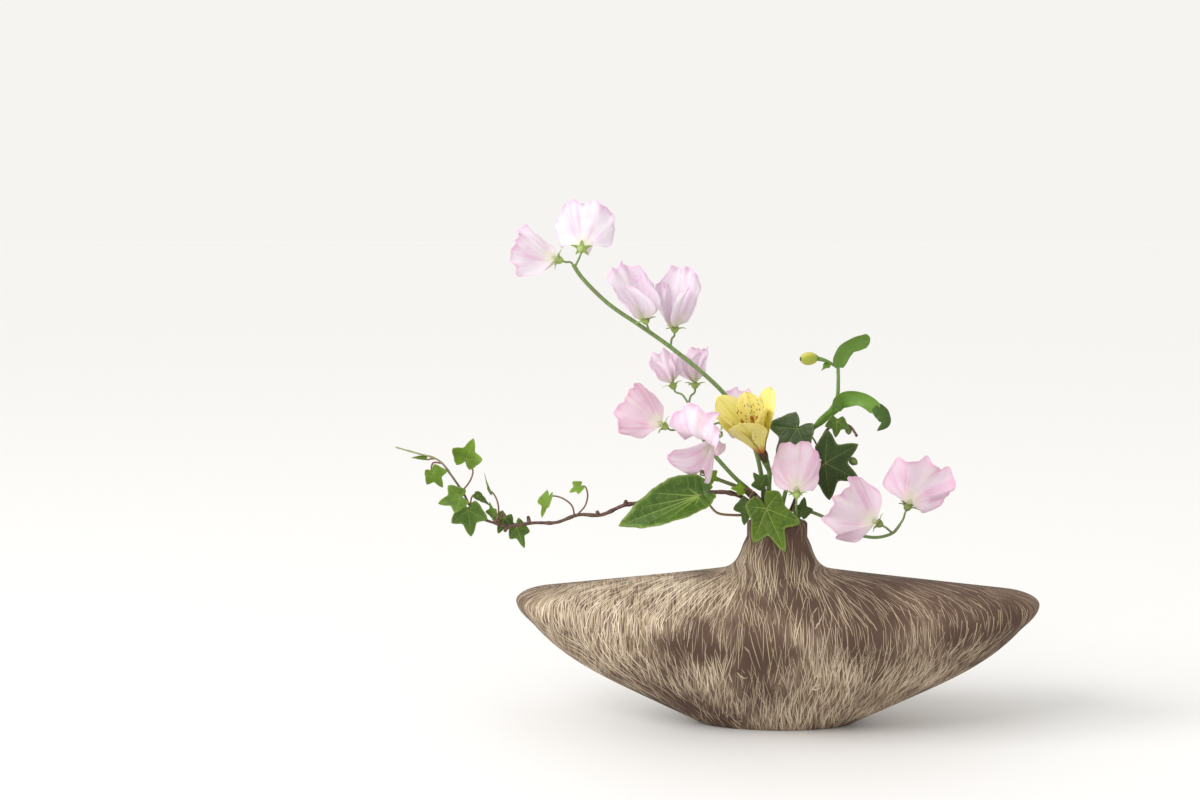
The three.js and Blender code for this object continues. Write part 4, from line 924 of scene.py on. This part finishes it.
LEAVES = {
    "ivy_leaf_big_left": Leaf(
        "vine", [(-16.5, -4.4, 163), (-22, -10, 164), (-34, -17, 165), (-47, -23, 168)],
        (-60, -30, 182), (-121, -36, 161), (0.15, -0.75, 0.6), 0.3, 0.5,
        "broad", 0.52, cup=0.05, fold=0.3, curl=0.08, stalk_radius=0.9),
    "ivy_leaf_front": Leaf(
        "front_sprig", [(-16, -12.5, 179), (-16, -20, 179.5)],
        (-10, -28, 172), (4, -36, 140), (0, -0.95, 0.1), 0.9, 0.34,
        "front", 0.72, cup=-0.1, fold=0.05, curl=-0.12),
    "ivy_leaf_dark_right": Leaf(
        "right_sprig", [(23, 3, 195), (27, -3, 202)],
        (35, -9, 204), (61, -9, 191), (0, -1, 0.1), 0.3, 0.12,
        "star", 1.05, cup=-0.05, fold=-0.1, curl=0.1),
    "ivy_leaf_dark_back": Leaf(
        "right_sprig", [(31, 1, 213), (26, 4, 222)],
        (15, 6, 228), (-2, 2, 206), (-0.3, -0.75, 0.6), 0.3, 0.15, width=1.1),
    "ivy_leaf_loop": Leaf(
        "right_sprig", [(46, -1, 233.5)],
        (44, -5, 235), (43, -7, 223), (0.1, -0.95, 0.3), 0.5, 0.35, width=1.1),
    "ivy_leaf_neck_left": Leaf(
        "front_sprig", [(-18, -13, 181), (-21, -14, 180.5)],
        (-23, -16.5, 173), (-27, -20, 158), (-0.5, -0.8, 0.2), 0.4, 0.3),
    "ivy_leaf_neck_middle": Leaf(
        "front_sprig", [(-6, -10.6, 163), (-7, -11, 167)],
        (-7, -15, 171), (-12, -14, 186), (0.1, -0.95, 0.2), 0.35, 0.2),
    "ivy_leaf_neck_upper": Leaf(
        "front_sprig", [(-11, -11.4, 173), (-10.5, -9, 181)],
        (-13, -13, 188), (-19, -13, 197), (0, -0.9, 0.4), 0.5, 0.4),
    "ivy_leaf_neck_yellow": Leaf(
        "front_sprig", [(-18.5, -13, 181.5), (-22, -10.5, 184)],
        (-28, -15, 184), (-36, -17, 186), (0.1, -0.8, 0.6), 1.0, 0.9),
    "ivy_leaf_neck_right": Leaf(
        "right_sprig", [(10.5, 6.3, 164), (14, -2, 166)],
        (17, -12, 166), (20, -13, 178), (0.3, -0.9, 0.1), 0.4, 0.3),
    "cut_stem_leaf": Leaf(
        "cut_stem", [(-58, -13, 198), (-59, -15, 195.5)],
        (-52, -16.5, 194.5), (-43.5, -17, 191), (0, -0.8, 0.6), 0.8, 0.6),
    "vine_leaf_01": Leaf(
        "vine", [(-238, -28, 184), (-232, -28, 192), (-230, -28, 200)],
        (-235, -29, 208), (-229, -33, 224), (0.2, -0.8, 0.55), 0.7, 0.85, cup=0.5),
    "vine_leaf_02": Leaf(
        "vine", [(-253, -28, 205), (-260, -26.5, 205)],
        (-259.5, -31.6, 198.6), (-252, -33, 187.5), (0.2, -0.95, 0.3), 0.6, 0.85),
    "vine_leaf_03": Leaf(
        "vine", [(-233, -28, 174), (-234, -31, 176)],
        (-239, -36, 180), (-255, -40, 177), (-0.2, -0.9, 0.4), 0.5, 0.75),
    "vine_leaf_04": Leaf(
        "vine", [(-231, -28, 171), (-231, -31, 172)],
        (-233, -33, 170), (-231, -34, 150), (0.1, -0.95, 0.2), 0.3, 0.7),
    "vine_leaf_05": Leaf(
        "vine", [(-213, -25, 159), (-211, -25, 168), (-212, -25, 176)],
        (-217, -26, 183), (-223, -27, 197), (-0.9, -0.35, 0), 0.6, 0.5, "lance"),
    "vine_leaf_06": Leaf(
        "vine", [(-231, -28, 171), (-232, -25, 176)],
        (-228, -22, 180), (-217, -23, 173), (0.4, -0.5, 0.75), 0.5, 0.4, "lance", 1.4),
    "vine_leaf_07": Leaf(
        "vine", [(-214, -26, 160), (-212, -29, 163)],
        (-214, -31, 167), (-218, -32, 176), (-0.7, -0.6, 0.2), 0.6, 0.5),
    "vine_leaf_08": Leaf(
        "vine", [(-213, -25, 159), (-208, -22, 166)],
        (-207, -18, 162), (-212, -19, 150), (0.2, 0.9, 0.3), 0.5, 0.35),
    "vine_leaf_09": Leaf(
        "vine", [(-196, -23.5, 157.5), (-199, -20, 158)],
        (-198, -17, 155), (-192, -20, 139), (-0.2, 0.95, 0.2), 0.3, 0.6, width=0.7),
    "vine_leaf_10": Leaf(
        "vine", [(-154, -20, 164), (-156, -20, 172), (-164, -20, 178)],
        (-174, -21, 178), (-180, -24, 164), (-0.85, -0.5, 0.2), 0.7, 0.9),
    "vine_leaf_11": Leaf(
        "vine", [(-152, -20, 165), (-146, -20, 172), (-144, -21, 181), (-146, -22, 187)],
        (-150, -22, 187), (-158, -23, 183), (0.1, -0.7, 0.7), 0.8, 0.95),
    "vine_leaf_12": Leaf(
        "vine", [(-258, -28, 208.5), (-262, -27, 208)],
        (-266, -28, 209), (-276, -29, 210), (0.1, -0.6, 0.8), 0.6, 0.5, "lance"),
}


def leaf_outline(kind):
    """Angles and reaches all the way round a leaf, with rounded lobes between the listed points."""
    half = []
    knots = OUTLINE[kind]
    for (angle_a, reach_a), (angle_b, reach_b) in zip(knots, knots[1:]):
        for t in np.arange(LEAF_PARTS) / LEAF_PARTS:
            even = (1 - math.cos(math.pi * t)) / 2
            pointed = math.sin(math.pi * t / 2) if reach_a > reach_b else 1 - math.cos(math.pi * t / 2)
            ease = mix(even, pointed, 0.65)
            half.append((mix(angle_a, angle_b, t), mix(reach_a, reach_b, ease)))
    half.append(tuple(knots[-1]))
    mirrored = [(-angle, reach) for angle, reach in half[-2:0:-1]]
    both = np.array(half + mirrored)
    return np.radians(both[:, 0]), both[:, 1]


def leaf_relief(x, y, leaf):
    """Height of a leaf over its own plane, all in shares of its length."""
    radius = np.hypot(x, y)
    return (
        leaf.cup * y * y
        + leaf.fold * np.sqrt(y * y + 0.01)
        - leaf.curl * x * np.abs(x)
        + 0.05 * radius * radius * np.cos(5 * np.arctan2(y, x) + 0.8)
    )


def leaf_axes(leaf):
    base = np.array(leaf.base, float)
    axis = np.array(leaf.tip, float) - base
    length = float(np.linalg.norm(axis))
    axis = axis / length
    normal = np.array(leaf.face, float)
    normal = unit(normal - axis * normal.dot(axis))
    return base, axis, np.cross(normal, axis), normal, length


def vein_place(x, y, kind, width, length):
    """Distance from the nearest main vein and distance along it, in millimetres."""
    angle = np.degrees(np.abs(np.arctan2(y, x)))
    veins = np.array(VEINS[kind], float)
    nearest = veins[np.abs(angle[..., None] - veins).argmin(-1)]
    turn = np.radians(nearest)
    way = unit(np.stack([np.cos(turn), width * np.sin(turn)], -1))
    spot = np.stack([x, width * np.abs(y)], -1) * length
    along = (spot * way).sum(-1)
    away = np.abs(spot[..., 0] * way[..., 1] - spot[..., 1] * way[..., 0])
    return away, along


def leaf_faces(spokes, count):
    """The faces of a leaf's two sides, of count points each, and of the wall round its edge."""
    i = np.arange(spokes)
    j = (i + 1) % spokes
    fan = np.stack([0 * i, 1 + i, 1 + j], -1)
    low = 1 + spokes * np.arange(LEAF_RINGS - 1)[:, None]
    quads = np.stack([low + i, low + spokes + i, low + spokes + j, low + j], -1).reshape(-1, 4)
    rim = 1 + (LEAF_RINGS - 1) * spokes
    wall = np.stack([rim + i, count + rim + i, count + rim + j, rim + j], -1)
    return (
        fan.tolist() + quads.tolist() + wall.tolist()
        + (fan[:, ::-1] + count).tolist() + (quads[:, ::-1] + count).tolist()
    )


def add_leaf(name, leaf, material):
    """A blade as a fan of spokes from its base, with its veins sunk in and puckered between them."""
    base, axis, side, normal, length = leaf_axes(leaf)
    width = leaf.width
    angles, reaches = leaf_outline(leaf.kind)
    shares = (np.arange(1, LEAF_RINGS + 1) / LEAF_RINGS)[:, None] ** 0.9
    x = np.concatenate([[0.02], (shares * reaches * np.cos(angles)).ravel()])
    y = np.concatenate([[0.0], (shares * reaches * np.sin(angles)).ravel()])
    edge = np.concatenate([[0.0], (shares + 0 * reaches).ravel()])

    def height(a, b):
        away, along = vein_place(a, b, leaf.kind, width, length)
        groove = 0.012 * np.exp(-((away / (0.035 * length)) ** 2))
        waves = np.cos(2 * math.pi * (along - 0.8 * away) / (0.13 * length))
        return leaf_relief(a, b, leaf) - groove + 0.007 * waves * np.minimum(1, away / 2)

    start = leaf_relief(0.0, 0.0, leaf)
    step = 1e-3
    slope_x = (height(x + step, y) - height(x - step, y)) / (2 * step)
    slope_y = (height(x, y + step) - height(x, y - step)) / (2 * step)
    middle = base + length * (x[:, None] * axis + width * y[:, None] * side
                              + (height(x, y) - start)[:, None] * normal)
    up = unit(normal - slope_x[:, None] * axis - (slope_y / width)[:, None] * side)
    half = LEAF / 2 * (1 - 0.6 * edge**6)[:, None]
    points = np.vstack([middle + up * half, middle - up * half])
    away, along = vein_place(x, y, leaf.kind, width, length)
    marks = np.tile(np.stack([away, along, edge], -1), (2, 1))
    form = Form()
    form.add(points, leaf_faces(len(angles), len(x)), marks, (leaf.hue, leaf.light, length))
    add_piece(f"blade_{name}", form, material, name)


def add_stalks(form, stem):
    """The stalks of all leaves on one stem, which run in under the blades and join their bases."""
    for leaf in LEAVES.values():
        if leaf.stem == stem:
            base, axis, _, normal, _ = leaf_axes(leaf)
            points = [*leaf.stalk, base - 2 * axis - 1.6 * normal, base + 0.8 * axis - 0.25 * normal]
            form.tube(points, leaf.stalk_radius * 1.15, leaf.stalk_radius, 10, kinds=(STALK, 0, 0))


def leaf_material(name, roughness, vein_color):
    """A glossy leaf with pale main veins, finer side veins and a lighter rim."""
    shade = Shade(name)
    away, along, edge = shade.attribute("marks")
    hue, light, length = shade.attribute("kinds")
    place = shade.place()
    clouds = shade.noise(place, 120, 3, 0.6)
    cells = shade.noise(place, 1100, 2, 0.6)
    main_width = (length * 0.006 + 0.14) * (1.15 - edge)
    main_veins = (away / main_width).step(1.6, 0.5)
    ladder = (along - away * 0.8) / (length * 0.085 + 1.2) + shade.noise(place, 90, 1) * 0.25
    side_veins = abs(shade.math("FRACT", ladder) - 0.5).step(0.09, 0.02) * 0.32
    veins = shade.math("MAXIMUM", main_veins, side_veins)
    dark = shade.blend(hue, (0.014, 0.034, 0.006), (0.034, 0.060, 0.003))
    bright = shade.blend(hue, (0.100, 0.215, 0.040), (0.200, 0.350, 0.006))
    shadow = shade.blend(light, (0.006, 0.016, 0.003), (0.055, 0.120, 0.004))
    color = shade.layers(
        shade.blend(light, dark, bright),
        (clouds.step(0.40, 0.68) * 0.5, shadow),
        (edge.step(0.86, 1) * 0.35, vein_color),
        (veins * 0.5, vein_color),
    )
    normal = shade.bump(veins * -0.8 + cells * 0.35, 0.0004, 0.6)
    return shade.finish(color, clouds * 0.22 + roughness, normal, 0.16, Specular_IOR_Level=0.34)


def build_leaves():
    materials = {
        "ivy_leaf": leaf_material("ivy_leaf", 0.32, (0.36, 0.48, 0.10)),
        "ivy_leaf_dark": leaf_material("ivy_leaf_dark", 0.30, (0.24, 0.32, 0.09)),
    }
    # The leaves on the right and in the neck are the dark ones.
    for name, leaf in LEAVES.items():
        slot = "ivy_leaf_dark" if "dark" in name or "neck" in name else "ivy_leaf"
        add_leaf(name, leaf, materials[slot])


# ---------------------------------------------------------------- alstroemeria
LILY_BASE = (-10, -12, 205)
LILY_WAY = ((-0.32, -0.5, 0.8), (0, 0.6, 0.8))  # forward and up
LILY_OUTER_LENGTH = 62
LILY_INNER_LENGTH = 0.94 * LILY_OUTER_LENGTH
LILY_OUTER_HALF = 12.5
LILY_INNER_HALF = 0.81 * LILY_OUTER_HALF
LILY_OUTER_FLARE = 23
LILY_LOW_FLARE = 21
LILY_INNER_FLARE = 16
LILY_THROAT = 1.6
STRAP_FOLD = 0.25
ANTHER_LENGTH = 5.6


def tepal(place, turn, half_width, length, flare, ruffle):
    """One of the six petals of the funnel: rolled round the axis and flaring out to its tip."""

    def surface(s, v):
        v = np.clip(v, 0, 1)
        half = half_width * np.sin(math.pi * mix(0.03, 0.70, v**1.5)) * np.sqrt(1 - 0.97 * v**7)
        half = half * (1.20 + 0.04 * np.sin(17 * v + 5 * turn))
        radius = LILY_THROAT + flare * v**1.4
        around = half * s
        frill = ruffle * np.abs(s) ** 3 * v**2 * np.sin(11 * v + 3 * turn + 2 * s)
        out = radius - 0.3 * around * around / (radius + 8) + frill
        out = out - 0.8 * np.exp(-((s / 0.10) ** 2)) * v
        tip = 2.0 * v**8 * np.exp(-((s / 0.3) ** 2))
        height = 4 + length * (v - 0.12 * v**3) - 0.012 * around * around + tip
        return place(out * math.cos(turn) - around * math.sin(turn), height,
                     out * math.sin(turn) + around * math.cos(turn))

    return surface


def build_lily(petal, green):
    place = organ_frame(LILY_BASE, *LILY_WAY)
    bloom = Form()
    bloom.spindle(place, [[0.6, 2.4], [5, 3.4], [10, 3.6], [13, 1.5]], 24, 6, 0.07, kinds=(OVARY, 0, 0))
    for i in range(3):
        flare = LILY_LOW_FLARE if i == 0 else LILY_OUTER_FLARE
        outer_turn = math.radians(270 + 120 * i)
        inner_turn = math.radians(90 + 120 * i)
        outer = tepal(place, outer_turn, LILY_OUTER_HALF, LILY_OUTER_LENGTH, flare, 0.9)
        inner = tepal(place, inner_turn, LILY_INNER_HALF, LILY_INNER_LENGTH, LILY_INNER_FLARE, 0.4)
        bloom.blade(outer, 40, 48, LILY_PETAL, kinds=(OUTER, 0, 0))
        bloom.blade(inner, 32, 48, LILY_PETAL, kinds=(INNER, 0, 0))
    for i in range(5):
        turn = 2 * math.pi * (i + 0.3) / 5
        height = 36 + 2.4 * i
        thread = [place(r * math.cos(turn), h, r * math.sin(turn))
                  for r, h in ((0.9, 10), (2.4, 22), (6.2, height))]
        bloom.tube(thread, 0.42, 0.34, 8, kinds=(FILAMENT, 0, 0))
        half = ANTHER_LENGTH / 2
        bloom.spindle(organ_frame(thread[-1], *LILY_WAY), [[-half, 0.6], [0, 1.3], [half, 0.6]],
                      12, 2, 0.15, kinds=(ANTHER, 0, 0))
    add_piece("lily_bloom", bloom, petal, "alstroemeria_bloom")

    under = [place(0, h, 0) for h in (-10, -4, 0)]
    stalk = Form()
    stalk.tube(standing("lily", [(-3, -6, 165), (-7, -9, 182), under[0], under[1]]), LILY_STEM, LILY_STEM)
    stalk.tube(under, LILY_STEM * 0.9, 2.9, kinds=(STALK, 0, 0))
    add_piece("lily_stem", stalk, green, "alstroemeria_stem")


def strap(form, points, sides, half_width, blunt=0.12, begin=0.08, dark=0.0):
    """A long strap leaf along a curve, its blade turning from one side direction to the other.

    Begin is how broad it starts, blunt how square it ends, and dark how much painted shade darkens its
    green.
    """
    curve = Curve(points)
    start, end = (np.array(a, float) for a in sides)

    def surface(s, v):
        t = np.clip(v, 0, 1)
        swell = np.sin(math.pi * mix(begin, 1, t**0.8))
        square_end = blunt * np.sqrt(np.clip((1 - t) * 9, 0.004, 1)) * smooth(t, 0, 0.5)
        half = half_width * np.maximum(square_end, np.abs(swell) ** 0.8)
        way = curve.way(t)
        side = mix(start, end, t[..., None])
        side = unit(side - way * (side * way).sum(-1, keepdims=True))
        face = np.cross(way, side)
        ripple = 0.05 * half * np.sin(22 * t + 2 * s) * np.abs(s)
        lift = STRAP_FOLD * half * s * s + ripple
        middle = curve.at(t) + way * ((v - t) * 10)[..., None]
        return middle + side * (half * s)[..., None] + face * lift[..., None]

    form.blade(surface, 20, 48, STRAP_LEAF, kinds=(STRAP, dark, 0))


def build_shoot(petal, green):
    form = Form()
    form.tube(standing("shoot", [(5, 4, 174), (14, 8, 200), (26, 9, 226), (38, 7, 240), (44.5, 6, 251),
                                 (45.5, 6, 264), (45, 6, 278)]), LILY_STEM, LILY_STEM * 0.7)
    form.tube([(44.5, 6, 275), (40, 4, 278), (34, 1, 281), (28, 0, 282.5)], PEDICEL + 0.2, 1.8, 10,
              kinds=(STALK, 0, 0))
    strap(form, [(46, 4.8, 243), (41, 4.9, 240.5), (34, 3.2, 235), (29, 3, 230.5), (25, 4, 227)],
          [(-0.5, -0.3, 0.8), (-0.5, -0.3, 0.8)], 3.5)
    strap(form, [(43.5, 6.2, 242.5), (46.5, 5, 248.5), (52.5, 2, 251.8), (61, -1, 252), (69, -4, 248),
                 (75, -6, 241.5)],
          [(-0.4, -0.5, 0.75), (0.85, 0.1, 0.5)], 6.6, blunt=0.8, begin=0.2)
    # The turned-over tip of the arching leaf, darkened with painted shade.
    strap(form, [(72.5, -5.6, 246.5), (78, -7.6, 240.8), (80, -9.2, 234.5), (73.5, -10.5, 228.6)],
          [(-0.75, -0.15, -0.6), (-0.7, -0.1, 0.7)], 5.6, blunt=0.05, begin=0.22, dark=0.9)
    strap(form, [(45.5, 6, 275), (47, 4, 284), (52, 3, 291), (60, 3, 294.5), (69, 5, 297)],
          [(-0.9, -0.3, 0.1), (-0.1, -0.45, 0.9)], 6.8, blunt=0.95, begin=0.14)
    strap(form, [(39, 3.5, 278.5), (35, 1, 276.5), (32, 0, 273)], [(0.3, 0.6, 0.6), (0.3, 0.6, 0.6)], 2.8)
    add_piece("lily_shoot", form, green, "alstroemeria_shoot")

    bud = Form()
    place = organ_frame((22.2, -1.7, 282.4), (-0.95, -0.25, -0.05), (0, 0, 1))
    stations = [[-7.2, 1.7], [-4.6, 3.7], [-1, 4.8], [3.2, 4.4], [5.8, 2.7], [6.9, 0.8]]
    bud.spindle(place, stations, 36, 3, 0.07, kinds=(BUD, 0, 0))
    add_piece("lily_bud", bud, petal, "alstroemeria_bud")


def lily_material():
    """Lemon petals with a green midrib, brown flecks on the inner three and a red-brown base."""
    shade = Shade("alstroemeria_petal")
    s, v, _ = shade.attribute("marks")
    organ, _, _ = shade.attribute("kinds")
    streaks = shade.noise(shade.join(s * 16, v * 2, organ), 1, 3, 0.6)
    rib = abs(s).step(0.16, 0.02) * v.step(1, 0.25)
    spots = shade.out("Distance", "ShaderNodeTexVoronoi",
                      {"Vector": shade.join(s * 7, v * 14, organ), "Scale": 1})
    flecks = spots.step(0.30, 0.18) * organ.above(OUTER) * v.step(0.15, 0.3) * v.step(0.97, 0.8)
    skin = shade.layers(
        shade.blend(s.step(-0.6, 0.9), (0.42, 0.48, 0.07), (0.66, 0.62, 0.12)),
        (v.step(0.80, 0.97), (0.10, 0.12, 0.02)),
        (v.step(0.2, 0.02), (0.20, 0.28, 0.05)),
    )
    color = shade.layers(
        shade.blend(streaks.step(0.35, 0.7), (0.90, 0.79, 0.19), (0.94, 0.89, 0.42)),
        (rib * 0.55, (0.42, 0.54, 0.07)),
        (flecks, (0.34, 0.11, 0.02)),
        (v.step(0.34, 0.10), (0.62, 0.20, 0.02)),
        (v.step(0.20, 0.04), (0.16, 0.022, 0.012)),
        (organ.above(INNER), shade.blend(v, (0.10, 0.12, 0.03), (0.10, 0.020, 0.012))),
        (organ.above(OVARY), (0.62, 0.50, 0.12)),
        (organ.above(FILAMENT), (0.48, 0.20, 0.025)),
        (organ.above(ANTHER), skin),
    )
    return shade.finish(color, 0.42, shade.bump(streaks, 0.0004, 0.5), 0.28, Specular_IOR_Level=0.4)


# ---------------------------------------------------------------- cut stem and ivy
LEAF_BUD = [[-0.92, 0.35], [-0.55, 0.85], [0, 1], [0.5, 0.8], [0.9, 0.3]]  # shares of half length, radius


def build_cut_stem(material):
    form = Form()
    form.tube(standing("cut_stem", [(-10, -3, 158), (-17, -5, 172.5), (-27, -7.5, 183), (-47, -12, 192),
                                    (-68, -14, 203)]), CUT_STEM, CUT_STEM * 0.9)
    add_stalks(form, "cut_stem")
    add_piece("cut_stem_body", form, material, "cut_stem")


def knotted(spacing, swell, begin=0):
    """A stem's swelling at its nodes, which come at uneven spacing past its smooth beginning."""

    def shape(length):
        place = length / spacing + 0.35 * np.sin(length / (2.3 * spacing))
        knot = np.exp(-(((place - np.round(place)) * spacing / 2.2) ** 2))
        return 1 + (swell * knot + 0.04 * np.sin(length * 0.9)) * smooth(length, begin - 8, begin)

    return shape


def build_vine(material):
    form = Form()
    form.tube(standing("vine", [
        (-15.5, -4.4, 160), (-24, -8.2, 175), (-37, -11, 181), (-56, -12, 181), (-83, -14, 178),
        (-104, -16, 174), (-117, -18, 172), (-134, -20, 165), (-151, -20, 165), (-168, -20, 159),
        (-184, -22, 159), (-204, -24, 157), (-216, -26, 160), (-227, -27, 165), (-232, -28, 172),
        (-237, -28, 182), (-247, -28, 197), (-253, -28, 205), (-259, -28, 209), (-270, -28, 212),
        (-288, -28, 217)]), VINE_STEM, PETIOLE, 14, 10, knotted(17, 0.28, STANDING_LENGTH))
    spurs = [
        [(-188, -22.5, 158.5), (-189, -22.5, 164)],
        [(-204, -24, 157), (-206.5, -26, 153)],
        [(-136, -20, 165), (-137, -21, 168)],
        [(-116, -18, 172.5), (-115, -19, 176)],
    ]
    for spur in spurs:
        form.tube(spur, 1.5, 1.1, 12, 8, knotted(3.5, 0.2))
    add_stalks(form, "vine")
    add_piece("vine_body", form, material, "ivy_vine")


def build_sprigs(material):
    front = Form()
    front.tube(standing("front_sprig", [(-5, -10.5, 160), (-9, -11, 170), (-14, -12, 177), (-19, -13, 182)]),
               SPRIG_STEM, SPRIG_STEM * 0.8, shape=knotted(12, 0.25, STANDING_LENGTH))
    add_stalks(front, "front_sprig")
    add_piece("sprig_front_body", front, material, "ivy_sprig_front")

    right = Form()
    right.tube(standing("right_sprig", [(9, 6.5, 160), (15, 5, 176), (23, 3, 195), (31, 1, 213),
                                        (36, -1, 227), (44, -1, 233), (54, -3, 231), (59, -6, 224)]),
               WOODY_SPRIG_STEM, 0.9, shape=knotted(14, 0.22, STANDING_LENGTH))
    add_stalks(right, "right_sprig")
    right.tube([(24, 2.8, 198), (21, -8, 205), (15.3, -11.3, 215.5)], TWIG, TWIG, 10)
    right.tube([(32, 0.6, 216), (44, 2, 212), (54, 0, 206)], TWIG, TWIG, 10)
    # The middle, forward and up ways, length and radius of each bud of a leaf.
    leaf_buds = [
        ((15, -11.5, 217), (-0.2, -0.2, 0.9), (0, 1, 0), 7, 2.4),
        ((57, -0.6, 204), (0.8, -0.2, -0.5), (0, 0, 1), 8, 2.8),
        ((53, -2, 228), (0.1, -0.2, -1), (0, 1, 0), 7, 2.4),
    ]
    for middle, forward, up, length, radius in leaf_buds:
        stations = [[at * length / 2, share * radius] for at, share in LEAF_BUD]
        right.spindle(organ_frame(middle, forward, up), stations, 24, 4, 0.1, kinds=(CUP, 0, 0))
    add_piece("sprig_right_body", right, material, "ivy_sprig_right")


def bark_material():
    """Purple-brown bark with paler specks along it; stalks are redder, and leaf buds green."""
    shade = Shade("ivy_stem")
    length, share, _ = shade.attribute("marks")
    organ, _, _ = shade.attribute("kinds")
    streak = shade.noise(shade.stretch(shade.place(), (500, 900, 500)), 1, 4, 0.7)
    rings = shade.noise(shade.join(length * 0.9, organ, 0))
    young = shade.noise(shade.join(length * 0.012, 3, 0)).step(0.52, 0.66)
    stalk = shade.blend(streak.step(0.3, 0.7), (0.17, 0.055, 0.062), (0.26, 0.13, 0.085))
    color = shade.layers(
        shade.blend(streak.step(0.35, 0.7), (0.055, 0.026, 0.024), (0.20, 0.105, 0.080)),
        (rings.step(0.6, 0.75) * 0.5, (0.30, 0.19, 0.13)),
        (young * 0.5, (0.16, 0.15, 0.045)),
        (length.step(380, 455) * 0.8, (0.36, 0.40, 0.17)),
        (organ.above(STEM), shade.blend(share.step(0.2, 0.9) * 0.6, stalk, (0.27, 0.29, 0.10))),
        (organ.above(STALK), (0.13, 0.19, 0.045)),
    )
    return shade.finish(color, 0.6, shade.bump(streak + rings * 0.6, 0.0007, 0.8), Specular_IOR_Level=0.35)


def water_material():
    shade = Shade("water")
    normal = shade.bump(shade.noise(shade.place(), 40), 0.0004, 0.3)
    return shade.finish((0.78, 0.86, 0.88), 0.04, normal, IOR=1.33, Transmission_Weight=0.9)


# ---------------------------------------------------------------- studio
# In metres; each soft light has its place, its width and its power.
SOFT_LIGHTS = {
    "key": ((-1.3, -1.5, 1.8), 0.9, 20),
    "fill": ((1.6, -1.5, 1.0), 1.6, 1),
}
SUN_PLACE = (-2.2, -0.6, 1.5)
SUN_STRENGTH = 1.6
SUN_ANGLE = 0.5
MIDDLE_HEIGHT = 0.15
SKY_COLOR = (1.0, 0.985, 0.955)
SKY_STRENGTH = 0.92
FLOOR_SIZE = 30
FLOOR_COLOR = (0.79, 0.785, 0.78)
CAMERA_PLACE = (-0.087563, -1.385185, 0.405091)
CAMERA_TILT = math.atan(205 / 1833)  # downwards: the horizon is 205 pixels above the middle
CAMERA_TURN = 0.0345518


def plain_material(name, color, roughness):
    shade = Shade(name)
    speckle = shade.noise(shade.place(), 30)
    tone = shade.blend(speckle, color, tuple(c * 0.985 for c in color))
    return shade.finish(tone, roughness, shade.bump(speckle, 0.0001, 0.1))


def place_light(name, light, place):
    """Puts a light in the scene, facing the middle of the arrangement."""
    lamp = bpy.data.objects.new(name, light)
    bpy.context.scene.collection.objects.link(lamp)
    x, y, z = place
    lamp.location = place
    lamp.rotation_euler = (math.atan2(math.hypot(x, y), z - MIDDLE_HEIGHT), 0, math.atan2(x, -y))


def build_studio():
    bpy.ops.mesh.primitive_plane_add(size=FLOOR_SIZE, location=(0, 0, 0))
    floor = bpy.context.object
    floor.name = "floor"
    floor.data.materials.append(plain_material("floor_paint", FLOOR_COLOR, 0.6))

    world = bpy.data.worlds.new("studio")
    world.use_nodes = True
    background = world.node_tree.nodes["Background"]
    background.inputs["Color"].default_value = (*SKY_COLOR, 1)
    background.inputs["Strength"].default_value = SKY_STRENGTH
    bpy.context.scene.world = world
    bpy.context.scene.view_settings.view_transform = "Standard"

    for name, (place, width, power) in SOFT_LIGHTS.items():
        light = bpy.data.lights.new(name, "AREA")
        light.size = width
        light.energy = power
        place_light(name, light, place)
    sun = bpy.data.lights.new("window", "SUN")
    sun.energy = SUN_STRENGTH
    sun.angle = SUN_ANGLE
    place_light("window", sun, SUN_PLACE)


def build_camera():
    camera = bpy.data.cameras.new("camera")
    camera.lens = 55
    camera.sensor_width = 36
    viewer = bpy.data.objects.new("camera", camera)
    viewer.location = CAMERA_PLACE
    viewer.rotation_euler = (math.pi / 2 - CAMERA_TILT, 0, CAMERA_TURN)
    bpy.context.scene.collection.objects.link(viewer)
    bpy.context.scene.camera = viewer


# ---------------------------------------------------------------- the arrangement
build_camera()
build_studio()
build_vase()
# The last colour of each stem material is the painted shade of its darker calyxes and strap leaves.
pea_green = stem_material("sweet_pea_stem", (0.13, 0.22, 0.06), (0.27, 0.38, 0.13),
                          (0.24, 0.17, 0.13), (0.33, 0.43, 0.12), (0.10, 0.13, 0.035))
lily_green = stem_material("alstroemeria_stem", (0.11, 0.22, 0.045), (0.21, 0.34, 0.08),
                           (0.18, 0.26, 0.07), (0.12, 0.24, 0.030), (0.035, 0.085, 0.008))
cut_green = stem_material("cut_stem", (0.10, 0.12, 0.04), (0.22, 0.22, 0.08),
                          (0.17, 0.10, 0.05), (0.17, 0.24, 0.06), (0.10, 0.13, 0.035))
lily_petal = lily_material()
build_peas(pea_green, petal_material())
build_lily(lily_petal, lily_green)
build_shoot(lily_petal, lily_green)
build_cut_stem(cut_green)
bark = bark_material()
build_vine(bark)
build_sprigs(bark)
build_leaves()

pool = bpy.data.objects["water"]
pool.data.materials.clear()
pool.data.materials.append(water_material())

bpy.context.view_layer.update()
